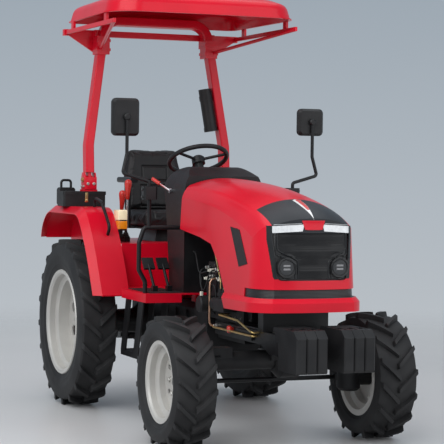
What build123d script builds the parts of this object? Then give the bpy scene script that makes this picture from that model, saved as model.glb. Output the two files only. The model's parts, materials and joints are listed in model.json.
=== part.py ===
"""Compact farm tractor with a folding roll-over frame, sun roof, opening bonnet and hung front weights.

Millimetres. The layout starts on the ground under the rear axle: x runs forward, y to the
driver's left and z up. The finished pieces are shifted along x so that the origin lies
under the middle of the whole machine.
"""

import os
from math import atan2, cos, pi, radians, sin

from build123d import *

# Clearances
RUNNING_GAP = 0.3          # between a moving piece and its seat
SEAT_GAP = 0.3             # between curved pieces that rest on each other

# Wheels
WHEELBASE = 1780.0
REAR_TRACK = 1200.0
FRONT_TRACK = 1170.0
REAR_TYRE_RADIUS = 520.0
REAR_TYRE_WIDTH = 236.0
REAR_RIM_RADIUS = 330.0
REAR_RIM_WIDTH = 210.0
REAR_LUGS = 20             # tread bars on each half of the tread
REAR_LUG_HEIGHT = 30.0
FRONT_TYRE_RADIUS = 352.0
FRONT_TYRE_WIDTH = 240.0
FRONT_RIM_RADIUS = 225.0
FRONT_RIM_WIDTH = 194.0
FRONT_LUGS = 16
FRONT_LUG_HEIGHT = 26.0
LUG_SLOPE = 0.9            # run round the tyre for each millimetre across it
LUG_ROOT_SHARE = 0.31      # thickness at the root, as a share of the pitch
LUG_CROWN_SHARE = 0.19
LUG_REACH = 0.92           # outer end, as a share of the half width
LUG_OVERLAP = 8.0          # how far a bar runs past the middle of the tread
LUG_ROOT_DEPTH = 28.0
LUG_END_DRAFT = 4.0
TREAD_SHARE = 0.88         # half width of the carcass under the bars
RIM_FLANGE_HEIGHT = 25.0
RIM_WELL_DEPTH = 30.0
RIM_SHEET = 8.0
WHEEL_DISC_THICKNESS = 10.0
DISC_CONE = 14.0           # how far the disc's edge stands out from its middle
REAR_DISH = -55.0          # disc's inner face from the middle of the wheel
FRONT_DISH = -20.0
REAR_HUB_RADIUS = 85.0
REAR_SHAFT_RADIUS = 32.0
FRONT_HUB_RADIUS = 62.0
FRONT_SHAFT_RADIUS = 24.0
REAR_STUDS = 8
FRONT_STUDS = 6
STUD_RADIUS = 9.0

# Front axle and steering
KINGPIN_TRACK = 880.0
KINGPIN_RADIUS = 20.0
AXLE_BEAM_Z = 455.0
AXLE_BEAM_RADIUS = 52.0
AXLE_DIFF_RADIUS = 102.0
CRADLE_LOW_Z = 590.0
KNUCKLE_RADIUS = 66.0
KNUCKLE_TOP_Z = 490.0
KNUCKLE_LOW_Z = 270.0
STEERING_ARM_LENGTH = 150.0
STEERING_ARM_Z = 300.0
STEERING_ARM_HALF = 11.0
TIE_ROD_RADIUS = 13.0
TIE_ROD_END = 16.0
BALL_PIN_RADIUS = 9.0

# Engine, gearbox, rear axle and front frame
ENGINE_HALF_WIDTH = 165.0
ENGINE_LOW_Z = 520.0
ENGINE_BED_Z = 640.0
ENGINE_DECK_Z = 960.0
ENGINE_HEAD_Z = 1060.0
ENGINE_TOP_Z = 1120.0
CYLINDER_PITCH = 125.0
CYLINDERS = 3
GEARBOX_HALF_WIDTH = 150.0
GEARBOX_LOW_Z = 400.0
GEARBOX_TOP_Z = 700.0
TRUMPET_RADIUS = 78.0
RAIL_BED_Z = 630.0
RAIL_PLATE = 18.0

# Front weights
WEIGHT_LENGTH = 300.0
WEIGHT_LOW_Z = 460.0
WEIGHT_TOP_Z = 678.0
WEIGHT_THICKNESS = 57.0
WEIGHT_PITCH = 59.0
WEIGHT_INNER_Y = 46.0
WEIGHTS_PER_SIDE = 3
HANGER_LOW_Z = 560.0
HANGER_TOP_Z = 600.0

# Bonnet
BONNET_REAR_X = 1000.0
BONNET_HALF_WIDTH = 300.0
BONNET_LOW_Z = 742.0
BONNET_TOP_Z = 1442.0
BONNET_SIDE_DRAFT = 3.0
BONNET_SHEET = 6.0
BONNET_LIP = 18.0
BONNET_LIP_HEIGHT = 56.0
BONNET_LIP_SLOPE = 24.0
BONNET_SHOULDER_Y = 225.0
# Along the bonnet from rear to front: share of its length, drop of the crown below the
# highest point, drop of the shoulder below the crown
BONNET_STATIONS = (
    (-0.2, 0.0, 43.0), (0.0, 2.0, 44.0), (0.2, 11.0, 46.0), (0.4, 30.0, 50.0), (0.6, 62.0, 55.0),
    (0.78, 106.0, 59.0), (0.92, 162.0, 62.0), (1.03, 268.0, 60.0),
)
BONNET_PIVOT_INSET = 13.0
BONNET_PIVOT_DROP = 20.0
BONNET_PIN_RADIUS = 6.0
BONNET_LUG_Y = 58.0
FACE_HALF_WIDTH = 222.0
FACE_FOOT_HALF_WIDTH = 196.0
FACE_LOW_Z = 915.0
FACE_CORNER = 24.0
LAMP_LOW_Z = 1172.0
LAMP_TOP_Z = 1208.0
LAMP_INNER_Y = 62.0
LAMP_DROP = 10.0
ROUND_LAMP_Y = 152.0
ROUND_LAMP_Z = 984.0
ROUND_LAMP_RADIUS = 42.0
POD_WALL = 11.0
INTAKE_LOW_Z = 822.0
INTAKE_TOP_Z = 868.0
GRILLE_SLOTS = 11
GRILLE_SHEET = 8.0

# Driver's station
PLATFORM_TOP_Z = 765.0
PLATFORM_HALF_WIDTH = 500.0
PLATFORM_FRONT_X = 1030.0
PLATFORM_REAR_X = 400.0
PLATFORM_SKIRT = 52.0
PLATFORM_PLATE = 8.0
SHEET = 5.0
DASH_HALF_WIDTH = 245.0
DASH_LENGTH = 358.0
DASH_TOP_Z = 1512.0
DASH_CROWN_RADIUS = 150.0
STEERING_WHEEL_X = 545.0
STEERING_WHEEL_Z = 1552.0
STEERING_WHEEL_RADIUS = 178.0
STEERING_RIM_RADIUS = 14.0
STEERING_WHEEL_TILT = 27.0
STEERING_SHAFT_RADIUS = 10.0
STEERING_SPOKES = 3
DECK_TOP_Z = 1030.0
DECK_REAR_X = -420.0
SEAT_WIDTH = 450.0
SEAT_LENGTH = 400.0
SEAT_LOW_Z = 1120.0
SEAT_CUSHION_HEIGHT = 100.0
SEAT_FRONT_X = 200.0
SEAT_BACK_WIDTH = 410.0
SEAT_BACK_HEIGHT = 420.0
SEAT_BACK_THICKNESS = 95.0
SEAT_BACK_RECLINE = 10.0
SEAT_PAN = 12.0
SEAT_ROUNDING = 24.0
ARMREST_Z = 1400.0
MAT_INNER_Y = 255.0
MAT_OUTER_Y = 458.0
MAT_THICKNESS = 4.0
STEP_Z = 404.0
STEP_DEPTH = 158.0
STEP_PLATE = 8.0
RAIL_X = 945.0
RAIL_RADIUS = 13.0
RAIL_TOP_Z = 1147.0
MIRROR_ARM_RADIUS = 10.0
MIRROR_Y = 591.0
MIRROR_Z = 1788.0
MIRROR_WIDTH = 166.0
MIRROR_HEIGHT_RIGHT = 220.0
MIRROR_HEIGHT_LEFT = 164.0
MIRROR_DEPTH = 40.0

# Fenders
FENDER_INNER_Y = 440.0
FENDER_OUTER_Y = 662.0
FENDER_TOP_Z = 1245.0
FENDER_FLAT_FRONT_X = 110.0
FENDER_FLAT_REAR_X = -400.0
FENDER_FRONT_X = 572.0
FENDER_FRONT_Z = 722.0
FENDER_REAR_X = -664.0
FENDER_REAR_Z = 1030.0
FENDER_FLANGE = 48.0
FENDER_FLANGE_DROP = 40.0
FENDER_SHEET = 4.0
FENDER_BEAD_RADIUS = 7.0
HANDLE_Y = 512.0
HANDLE_RADIUS = 10.0

# Roll-over frame and sun roof
ROPS_X = -190.0
ROPS_FOOT_Y = 470.0
ROPS_TOP_Y = 350.0
ROPS_PIVOT_Z = 1415.0
ROPS_KINK_Z = 1640.0
ROPS_TOP_Z = 2450.0
ROPS_LEAN = 4.5
ROPS_TUBE_DEPTH = 80.0
ROPS_TUBE_WIDTH = 55.0
ROPS_TUBE_ROUNDING = 8.0
ROPS_CORNER_RADIUS = 110.0
ROPS_PIN_RADIUS = 12.0
ROPS_EAR_RADIUS = 27.0
ROPS_EAR_THICKNESS = 10.0
ROPS_TONGUE_THICKNESS = 22.0
FOOT_BOX_HEIGHT = 96.0
FOOT_BOX_INNER_Y = 378.0
FOOT_BOX_OUTER_Y = 658.0
FOOT_BOX_DEPTH = 150.0
LEG_INNER_Y = 385.0
LEG_OUTER_Y = 439.0
LEG_REAR_X = -240.0
LEG_FRONT_X = -140.0
LEG_LOW_Z = 640.0
LEG_SEAT_Z = 612.0
ROOF_REAR_X = -330.0
ROOF_FRONT_X = 720.0
ROOF_HALF_WIDTH = 608.0
ROOF_TAIL_TAPER = 28.0
ROOF_BOW = 24.0
ROOF_FRONT_CORNER = 190.0
ROOF_REAR_CORNER = 70.0
ROOF_LOW_Z = 2425.0
ROOF_SHEET = 7.0
ROOF_SKIRT = 88.0
ROOF_BEND_SHARE = 0.962
ROOF_BEND_RADIUS = 60.0
ROOF_HEIGHT = 122.0
ROOF_TOP_SHARE = 0.82
ROOF_TOP_RADIUS = 150.0
ROOF_BOW_RADIUS = 2400.0
ROOF_LIP_SHARE = 1.012
CROSS_TUBE = 40.0
SIDE_RAIL_Z = 2367.0
CLAMP_Z = 2285.0

# Three-point hitch
LOWER_PIVOT_X = -150.0
LOWER_PIVOT_Z = 415.0
LOWER_PIVOT_Y = 230.0
LOWER_PIN_RADIUS = 14.0
LIFT_SHAFT_X = -230.0
LIFT_SHAFT_Z = 800.0
LIFT_SHAFT_RADIUS = 22.0
LIFT_CRANK = 280.0
LIFT_PIN_RADIUS = 9.0
LOWER_LINK_REACH = 700.0
LINK_DROOP = 6.0
LINK_THICKNESS = 22.0
LINK_BALL_RADIUS = 32.0
LINK_PIN_BORE_RADIUS = 11.2
TOP_LINK_BORE_RADIUS = 9.7
PTO_RADIUS = 17.5
PTO_Z = 560.0
DRAWBAR_REAR_X = -560.0
DRAWBAR_BORE_RADIUS = 12.5

# Places that follow from the sizes above
FRONT_AXLE_X = WHEELBASE
REAR_WHEEL_Y = REAR_TRACK / 2
FRONT_WHEEL_Y = FRONT_TRACK / 2
KINGPIN_Y = KINGPIN_TRACK / 2
REAR_DISC_Y = REAR_WHEEL_Y + REAR_DISH
FRONT_DISC_Y = FRONT_WHEEL_Y + FRONT_DISH
ENGINE_REAR_X = FRONT_AXLE_X - 610
ENGINE_FRONT_X = FRONT_AXLE_X - 20
HANGER_X = FRONT_AXLE_X + 475
HANGER_FRONT_X = HANGER_X + 45
BONNET_FRONT_X = FRONT_AXLE_X + 482
BONNET_LENGTH = BONNET_FRONT_X - BONNET_REAR_X
NOSE_REAR_X = BONNET_FRONT_X - 272
FACE_X = BONNET_FRONT_X - 112
WEIGHT_FRONT_X = HANGER_X + 275
DASH_FRONT_X = BONNET_REAR_X - 22
DASH_REAR_X = DASH_FRONT_X - DASH_LENGTH
BONNET_PIVOT = (BONNET_REAR_X + BONNET_PIVOT_INSET, BONNET_TOP_Z - BONNET_PIVOT_DROP)
REAR_END_X = LOWER_PIVOT_X - LOWER_LINK_REACH * cos(radians(LINK_DROOP)) - LINK_BALL_RADIUS
ORIGIN_X = (WEIGHT_FRONT_X + REAR_END_X) / 2
RIGHT, LEFT = -1, 1


def block(x0, x1, y0, y1, z0, z1):
    """Box between two corners."""
    middle = Pos((x0 + x1) / 2, (y0 + y1) / 2, (z0 + z1) / 2)
    return middle * Box(abs(x1 - x0), abs(y1 - y0), abs(z1 - z0))


def pillar(axis, at, start, end, radius):
    """Cylinder along x, y or z, at the two other coordinates, from start to end."""
    length = abs(end - start)
    middle = (start + end) / 2
    if axis == "x":
        return Pos(middle, at[0], at[1]) * Rot(0, 90, 0) * Cylinder(radius, length)
    if axis == "y":
        return Pos(at[0], middle, at[1]) * Rot(90, 0, 0) * Cylinder(radius, length)
    return Pos(at[0], at[1], middle) * Cylinder(radius, length)


def rod(start, end, radius):
    """Straight round bar between two points."""
    along = Vector(*end) - Vector(*start)
    return Plane(origin=start, z_dir=along) * Cylinder(
        radius, along.length, align=(Align.CENTER, Align.CENTER, Align.MIN)
    )


def side_plate(outline, y0, y1):
    """Plate with an outline of (x, z) points, between two y planes."""
    face = make_face(Polyline(*[(x, 0, z) for x, z in outline], close=True))
    return Pos(0, min(y0, y1), 0) * extrude(face, amount=abs(y1 - y0), dir=(0, 1, 0))


def front_on_plate(outline, x0, x1):
    """Plate with an outline of (y, z) points, between two x planes."""
    face = make_face(Polyline(*[(0, y, z) for y, z in outline], close=True))
    return Pos(min(x0, x1), 0, 0) * extrude(face, amount=abs(x1 - x0), dir=(1, 0, 0))


def bent_tube(points, radius, bend):
    """Round tube along straight runs joined by arcs of one radius."""
    path = FilletPolyline(*points, radius=bend)
    return sweep(Plane(origin=path @ 0, z_dir=path % 0) * Circle(radius), path=path)


def turned(profile):
    """Ring turned about the y axis from (y, radius) points, centred on the origin."""
    face = make_face(Polyline(*[(radius, y, 0) for y, radius in profile], close=True))
    return revolve(face, axis=Axis.Y)


def turned_upright(profile):
    """Body turned about the z axis from (radius, z) points, centred on the origin."""
    face = make_face(Polyline(*[(radius, 0, z) for radius, z in profile], close=True))
    return revolve(face, axis=Axis.Z)


def other_side(shape):
    """The same piece on the other side of the machine."""
    return mirror(shape, about=Plane.XZ)


def both_sides(right_hand):
    """A right-hand piece and its mirror image, as separate solids."""
    return Compound([*right_hand.solids(), *other_side(right_hand).solids()])


def joined(shapes):
    """All the shapes fused."""
    first, *rest = shapes
    return first.fuse(*rest) if rest else first


def flat_face(corners):
    """Flat face through its corners."""
    return Face(Wire.make_polygon([Vector(*corner) for corner in corners], close=True))


def frustum(low, high):
    """Solid with flat sides between two parallel outlines with matching corners."""
    following = [*range(1, len(low)), 0]
    sides = [flat_face([low[i], low[j], high[j], high[i]]) for i, j in enumerate(following)]
    return Solid(Shell([flat_face(low), flat_face(high), *sides]))


def facet_ring(profile, count):
    """Ring about the y axis with flat facets, from (y, radius) points, one facet facing +x."""
    half = pi / count

    def corner(y, radius, k):
        turn = (2 * k - 1) * half
        return (radius / cos(half) * cos(turn), y, radius / cos(half) * sin(turn))

    faces = []
    for k in range(count):
        for (y0, r0), (y1, r1) in zip(profile, profile[1:] + profile[:1]):
            faces.append(flat_face([
                corner(y0, r0, k), corner(y1, r1, k), corner(y1, r1, k + 1), corner(y0, r0, k + 1),
            ]))
    return Solid(Shell(faces))


def rim(radius, width, shaft_radius, hub_radius, dish, studs):
    """Wheel rim with bead seats, a dropped well and a deep disc with hand holes, outer side at +y."""
    half = width / 2
    seat = radius - RIM_FLANGE_HEIGHT
    well = seat - RIM_WELL_DEPTH
    under = well - RIM_SHEET
    barrel = turned([
        (-half, radius), (-half + RIM_SHEET, radius), (-half + RIM_SHEET, seat),
        (-0.6 * half, seat), (-0.46 * half, well), (0.34 * half, well), (0.48 * half, seat),
        (half - RIM_SHEET, seat), (half - RIM_SHEET, radius), (half, radius - 4),
        (half - 3, seat + 2), (half - 14, seat - RIM_SHEET), (0.52 * half, seat - RIM_SHEET),
        (0.38 * half, under), (-0.5 * half, under), (-0.64 * half, seat - RIM_SHEET), (-half, seat - RIM_SHEET),
    ])
    bore = shaft_radius + RUNNING_GAP
    step = WHEEL_DISC_THICKNESS
    knee = hub_radius + 40
    edge = dish + DISC_CONE
    disc = turned([
        (dish, bore), (dish, knee), (edge, under + RIM_SHEET / 2), (edge + step, under + RIM_SHEET / 2),
        (dish + step, knee - step / 2), (dish + step, hub_radius), (dish + 3.2 * step, 0.8 * hub_radius),
        (dish + 3.2 * step, bore),
    ])
    hole_ring = (knee + under) / 2
    hole = pillar("y", (hole_ring, 0), dish - step, edge + 2 * step, 0.24 * (under - knee))
    heads = [
        Rot(0, 360 * k / studs, 0)
        * pillar("y", (hub_radius + 18, 0), dish, dish + 2.2 * step, STUD_RADIUS)
        for k in range(studs)
    ]
    holes = [Rot(0, 360 * (k + 0.5) / studs, 0) * hole for k in range(studs)]
    return joined([barrel, disc - joined(holes), *heads])


def tread_bar(radius, half, lugs, lug_height):
    """Tapered tread bar facing +x, slanting from past the middle of the tread to the +y shoulder."""
    pitch = 2 * pi * radius / lugs
    middle = (LUG_REACH * half - LUG_OVERLAP) / 2
    length = (LUG_REACH * half + LUG_OVERLAP) / 2

    def outline(x, reach, thickness):
        run = LUG_SLOPE * reach
        return [
            (x, middle - reach, -run - thickness / 2), (x, middle - reach, -run + thickness / 2),
            (x, middle + reach, run + thickness / 2), (x, middle + reach, run - thickness / 2),
        ]

    crown_length = length - LUG_END_DRAFT
    tip = LUG_SLOPE * crown_length + LUG_CROWN_SHARE * pitch / 2
    step = pi / lugs
    crown = (radius - tip * sin(step)) / cos(step)
    return frustum(
        outline(radius - lug_height - LUG_ROOT_DEPTH, length, LUG_ROOT_SHARE * pitch),
        outline(crown, crown_length, LUG_CROWN_SHARE * pitch),
    )


def tyre(radius, width, rim_radius, rim_width, lugs, lug_height):
    """Field tyre of flat facets with two staggered rows of bars, standing on their tips, outer side at +y."""
    half = width / 2
    tread = radius - lug_height
    bead = rim_radius - RIM_FLANGE_HEIGHT + SEAT_GAP
    belly = (tread + rim_radius) / 2 + 8
    flange_share = RIM_FLANGE_HEIGHT / (belly - bead)
    flange_y = rim_width / 2 - RIM_SHEET - 2
    bead_half = (flange_y - flange_share * half) / (1 - flange_share)
    side = [(bead_half, bead), (half, belly), (TREAD_SHARE * half, tread)]
    carcass = facet_ring(side + [(-y, r) for y, r in reversed(side)], 2 * lugs)
    bar = tread_bar(radius, half, lugs, lug_height)
    opposite = other_side(bar)
    turn = 360 / lugs
    bars = [Rot(0, turn * k, 0) * bar for k in range(lugs)]
    bars += [Rot(0, turn * (k + 0.5), 0) * opposite for k in range(lugs)]
    return carcass.fuse(*bars)


def wheels():
    """Rims and tyres of the four wheels."""
    made = {}
    sets = (
        ("rear", 0.0, REAR_WHEEL_Y,
         rim(REAR_RIM_RADIUS, REAR_RIM_WIDTH, REAR_SHAFT_RADIUS, REAR_HUB_RADIUS, REAR_DISH, REAR_STUDS),
         tyre(REAR_TYRE_RADIUS, REAR_TYRE_WIDTH, REAR_RIM_RADIUS, REAR_RIM_WIDTH, REAR_LUGS, REAR_LUG_HEIGHT),
         REAR_TYRE_RADIUS),
        ("front", FRONT_AXLE_X, FRONT_WHEEL_Y,
         rim(FRONT_RIM_RADIUS, FRONT_RIM_WIDTH, FRONT_SHAFT_RADIUS, FRONT_HUB_RADIUS, FRONT_DISH, FRONT_STUDS),
         tyre(FRONT_TYRE_RADIUS, FRONT_TYRE_WIDTH, FRONT_RIM_RADIUS, FRONT_RIM_WIDTH, FRONT_LUGS,
              FRONT_LUG_HEIGHT),
         FRONT_TYRE_RADIUS),
    )
    for end, x, y, one_rim, one_tyre, height in sets:
        place = Pos(x, y, height)
        made[f"{end}_rim_left"] = place * one_rim
        made[f"{end}_tyre_left"] = place * one_tyre
        made[f"{end}_rim_right"] = other_side(place * one_rim)
        made[f"{end}_tyre_right"] = other_side(place * one_tyre)
    return made


def rear_axle():
    """Differential housing with axle trumpets, end flanges, wheel shafts, lift cover and rear bracket."""
    z = REAR_TYRE_RADIUS
    side = GEARBOX_HALF_WIDTH
    flange_y = REAR_DISC_Y - RUNNING_GAP
    centre = block(-230, 150, -side, side, GEARBOX_LOW_Z - 20, GEARBOX_TOP_Z + 40)
    centre = chamfer(centre.edges().filter_by(Axis.Y), 40)
    trumpet = turned([
        (side - 5, 0), (side - 5, TRUMPET_RADIUS + 40), (side + 14, TRUMPET_RADIUS + 40),
        (side + 60, TRUMPET_RADIUS), (flange_y - 40, TRUMPET_RADIUS - 12), (flange_y - 30, REAR_HUB_RADIUS + 20),
        (flange_y - 18, REAR_HUB_RADIUS + 20), (flange_y - 14, REAR_HUB_RADIUS - 8),
        (flange_y, REAR_HUB_RADIUS - 8), (flange_y, REAR_SHAFT_RADIUS),
        (flange_y + 42, REAR_SHAFT_RADIUS), (flange_y + 42, 0),
    ])
    rib = front_on_plate(
        [(side - 4, z + 30), (side - 4, z + 150), (side + 90, z + TRUMPET_RADIUS - 8), (side + 90, z + 30)], -9, 9
    )
    left = joined([Pos(0, 0, z) * trumpet, rib])
    low = (LOWER_PIVOT_X, LOWER_PIVOT_Z)
    lift = (LIFT_SHAFT_X, LIFT_SHAFT_Z)
    pivots = pillar("y", low, -LOWER_PIVOT_Y + 24, LOWER_PIVOT_Y - 24, LINK_BALL_RADIUS - 2)
    pins = pillar("y", low, -LOWER_PIVOT_Y - 26, LOWER_PIVOT_Y + 26, LOWER_PIN_RADIUS)
    cover = block(-290, 90, -130, 130, GEARBOX_TOP_Z + 35, LIFT_SHAFT_Z + 100)
    cover = chamfer(cover.edges().filter_by(Axis.Y), 35)
    shaft = pillar("y", lift, -LOWER_PIVOT_Y - 20, LOWER_PIVOT_Y + 20, LIFT_SHAFT_RADIUS)
    boss = pillar("y", lift, -side, side, LIFT_SHAFT_RADIUS + 33)
    pto_guard = block(-300, -225, -70, 70, PTO_Z - 90, PTO_Z + 90)
    pto = pillar("x", (0, PTO_Z), -365, -225, PTO_RADIUS)
    top_z = LIFT_SHAFT_Z + 20
    cheek = [(-285, top_z - 80), (-285, top_z + 60), (-345, top_z + 60), (-345, top_z - 60)]
    bracket = joined([side_plate(cheek, y, y + 14) for y in (-40, 26)])
    bracket -= pillar("y", (-322, top_z), -60, 60, TOP_LINK_BORE_RADIUS)
    pad = block(-70, 70, -LEG_OUTER_Y, -LEG_INNER_Y, z, LEG_SEAT_Z)
    return joined([
        centre, left, other_side(left), pivots, pins, cover, shaft, boss, pto_guard, pto, bracket, pad,
        other_side(pad),
    ])


def gearbox():
    """Gearbox and clutch housing between engine and rear axle, with its drive case to the front axle."""
    side = GEARBOX_HALF_WIDTH
    bell_x = ENGINE_REAR_X - 270
    case = block(150, bell_x, -side, side, GEARBOX_LOW_Z, GEARBOX_TOP_Z)
    case = chamfer(case.edges().filter_by(Axis.X), 35)
    ribs = [
        block(x, x + 16, -side - 10, side + 10, GEARBOX_LOW_Z + 50, GEARBOX_TOP_Z - 50)
        for x in (bell_x - 480, bell_x - 300, bell_x - 120)
    ]
    bell = loft([
        Plane.YZ.offset(bell_x) * Pos(0, (GEARBOX_LOW_Z + GEARBOX_TOP_Z) / 2) * RectangleRounded(
            2 * side, GEARBOX_TOP_Z - GEARBOX_LOW_Z, 40),
        Plane.YZ.offset(ENGINE_REAR_X) * Pos(0, (GEARBOX_LOW_Z + GEARBOX_TOP_Z) / 2 + 15) * RectangleRounded(
            2 * side + 40, GEARBOX_TOP_Z - GEARBOX_LOW_Z - 30, 60),
    ])
    drive = pillar("x", (70, GEARBOX_LOW_Z + 20), ENGINE_REAR_X - 70, ENGINE_REAR_X, 30)
    return joined([case, *ribs, bell, drive])


def cylinder_xs():
    """Places of the cylinders along the engine."""
    middle = (ENGINE_REAR_X + ENGINE_FRONT_X) / 2 - 40
    return [middle + (k - (CYLINDERS - 1) / 2) * CYLINDER_PITCH for k in range(CYLINDERS)]


def engine():
    """Engine as one block with ribbed sides, sump, head, rocker cover, front cover and pulleys."""
    rear, front, half = ENGINE_REAR_X, ENGINE_FRONT_X, ENGINE_HALF_WIDTH
    body = block(rear, front - 60, -half, half, ENGINE_BED_Z, ENGINE_DECK_Z)
    ribs = [
        block(x - 6, x + 6, -half - 7, half + 7, ENGINE_BED_Z + 150, ENGINE_DECK_Z - 30)
        for x in [*cylinder_xs(), rear + 40]
    ]
    flange = block(rear, rear + 22, -half - 12, half + 12, ENGINE_BED_Z + 20, ENGINE_DECK_Z - 90)
    head = block(rear + 20, front - 80, -110, 110, ENGINE_DECK_Z, ENGINE_HEAD_Z)
    ports = [pillar("y", (x, ENGINE_DECK_Z + 52), -132, 132, 27) for x in cylinder_xs()]
    cover = block(rear + 40, front - 100, -75, 75, ENGINE_HEAD_Z, ENGINE_TOP_Z)
    cover = fillet(cover.edges().filter_by(Axis.Z) + cover.edges().group_by(Axis.Z)[-1], 20)
    cap = pillar("z", (front - 180, 0), ENGINE_TOP_Z - 5, ENGINE_TOP_Z + 22, 30)
    sump_top = Plane.XY.offset(ENGINE_BED_Z) * Pos((rear + front - 160) / 2, 0) * Rectangle(front - rear - 160, 250)
    sump = extrude(sump_top, amount=ENGINE_LOW_Z - ENGINE_BED_Z, taper=8)
    timing = front_on_plate(
        [(-140, ENGINE_BED_Z + 20), (140, ENGINE_BED_Z + 20), (150, ENGINE_BED_Z + 200), (90, ENGINE_DECK_Z + 20),
         (-90, ENGINE_DECK_Z + 20), (-150, ENGINE_BED_Z + 200)], front - 60, front,
    )
    pulley = joined([
        pillar("x", (0, ENGINE_BED_Z + 120), front, front + 12, 85),
        pillar("x", (0, ENGINE_BED_Z + 120), front + 12, front + 28, 70),
        pillar("x", (0, ENGINE_BED_Z + 120), front + 28, front + 40, 85),
    ])
    fan_hub = pillar("x", (0, ENGINE_DECK_Z - 30), front, front + 50, 45)
    return joined([body, *ribs, flange, head, *ports, cover, cap, sump, timing, pulley, fan_hub])


def engine_fittings():
    """Injection pump, filters, starter, alternator and exhaust log, each bolted to the block."""
    side = ENGINE_HALF_WIDTH + SEAT_GAP
    pump_x = ENGINE_FRONT_X - 320
    pump_z = ENGINE_BED_Z + 60
    pump = joined([
        block(pump_x, pump_x + 160, -side - 80, -side, pump_z, pump_z + 72),
        pillar("x", (-side - 45, pump_z + 34), pump_x - 55, pump_x, 36),
        *[pillar("z", (pump_x + 30 + 50 * k, -side - 45), pump_z + 72, pump_z + 122, 13) for k in range(CYLINDERS)],
        *[pillar("z", (pump_x + 30 + 50 * k, -side - 45), pump_z + 84, pump_z + 100, 18) for k in range(CYLINDERS)],
    ])
    filter_x = ENGINE_FRONT_X - 112
    bowl = turned_upright([(0, -130), (22, -130), (40, -112), (40, -8), (46, -8), (46, 8), (0, 8)])
    fuel_filter = joined([
        Pos(filter_x, -side - 54, ENGINE_BED_Z + 222) * bowl,
        block(filter_x - 44, filter_x + 44, -side - 92, -side, ENGINE_BED_Z + 228, ENGINE_BED_Z + 250),
    ])
    oil = turned([(0, 0), (0, 30), (-12, 30), (-12, 47), (-104, 47), (-112, 40), (-112, 0)])
    oil_filter = Pos(ENGINE_REAR_X + 125, -side, ENGINE_BED_Z + 85) * oil
    starter_x = ENGINE_REAR_X + 40
    starter = joined([
        pillar("x", (side + 58, ENGINE_BED_Z + 80), starter_x, starter_x + 190, 46),
        pillar("x", (side + 50, ENGINE_BED_Z + 136), starter_x + 60, starter_x + 150, 24),
        block(starter_x + 40, starter_x + 100, side, side + 30, ENGINE_BED_Z + 50, ENGINE_BED_Z + 110),
    ])
    dynamo_x = ENGINE_FRONT_X - 200
    alternator = joined([
        pillar("x", (side + 52, ENGINE_DECK_Z - 70), dynamo_x, dynamo_x + 120, 50),
        pillar("x", (side + 52, ENGINE_DECK_Z - 70), dynamo_x + 120, dynamo_x + 150, 30),
        block(dynamo_x + 30, dynamo_x + 90, side, side + 20, ENGINE_DECK_Z - 90, ENGINE_DECK_Z - 50),
    ])
    first, *others = cylinder_xs()
    last = others[-1]
    log_y = 132 + SEAT_GAP + 34
    exhaust = joined([
        pillar("x", (log_y, ENGINE_DECK_Z + 52), first - 40, last + 40, 30),
        *[pillar("y", (x, ENGINE_DECK_Z + 52), 132 + SEAT_GAP, log_y, 25) for x in cylinder_xs()],
    ])
    fittings = (pump, fuel_filter, oil_filter, starter, alternator, exhaust)
    return Compound([solid for piece in fittings for solid in piece.solids()])


def front_frame():
    """Side rails, cross members, axle bearer and the rail that the weights hang on."""
    axle = FRONT_AXLE_X
    inner = ENGINE_HALF_WIDTH + 2
    outer = inner + RAIL_PLATE
    outline = [
        (axle - 450, HANGER_LOW_Z), (axle - 450, RAIL_BED_Z), (axle + 420, RAIL_BED_Z), (axle + 455, RAIL_BED_Z + 20),
        (axle + 455, HANGER_LOW_Z - 40), (axle + 320, HANGER_LOW_Z - 40), (axle + 210, HANGER_LOW_Z),
    ]
    rails = [side_plate(outline, sign * inner, sign * outer) for sign in (RIGHT, LEFT)]
    nose = block(axle + 320, axle + 455, -inner, inner, HANGER_LOW_Z - 40, RAIL_BED_Z + 10)
    bearer = block(axle - 140, axle + 140, -inner, inner, CRADLE_LOW_Z, RAIL_BED_Z + 10)
    front_plate = block(axle + 455, HANGER_X, -outer, outer, HANGER_LOW_Z - 80, RAIL_BED_Z + 20)
    hook = block(HANGER_X, HANGER_FRONT_X, -outer - 30, outer + 30, HANGER_LOW_Z, HANGER_TOP_Z)
    pads = [
        block(axle - 110, axle + 110, sign * outer, sign * (outer + 14), CRADLE_LOW_Z - 18, RAIL_BED_Z - 10)
        for sign in (RIGHT, LEFT)
    ]
    return joined([*rails, nose, bearer, front_plate, hook, *pads])


def radiator():
    """Radiator core with its header tank and filler, on the front frame behind the grille."""
    x0, x1 = FRONT_AXLE_X + 180, FRONT_AXLE_X + 250
    core = block(x0, x1, -190, 190, RAIL_BED_Z, ENGINE_TOP_Z + 10)
    tank = fillet(
        block(x0 - 10, x1 + 10, -200, 200, ENGINE_TOP_Z + 10, ENGINE_TOP_Z + 45).edges().filter_by(Axis.Y), 12
    )
    filler = pillar("z", (x0 + 35, 90), ENGINE_TOP_Z + 40, ENGINE_TOP_Z + 62, 26)
    return joined([core, tank, filler])


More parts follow.
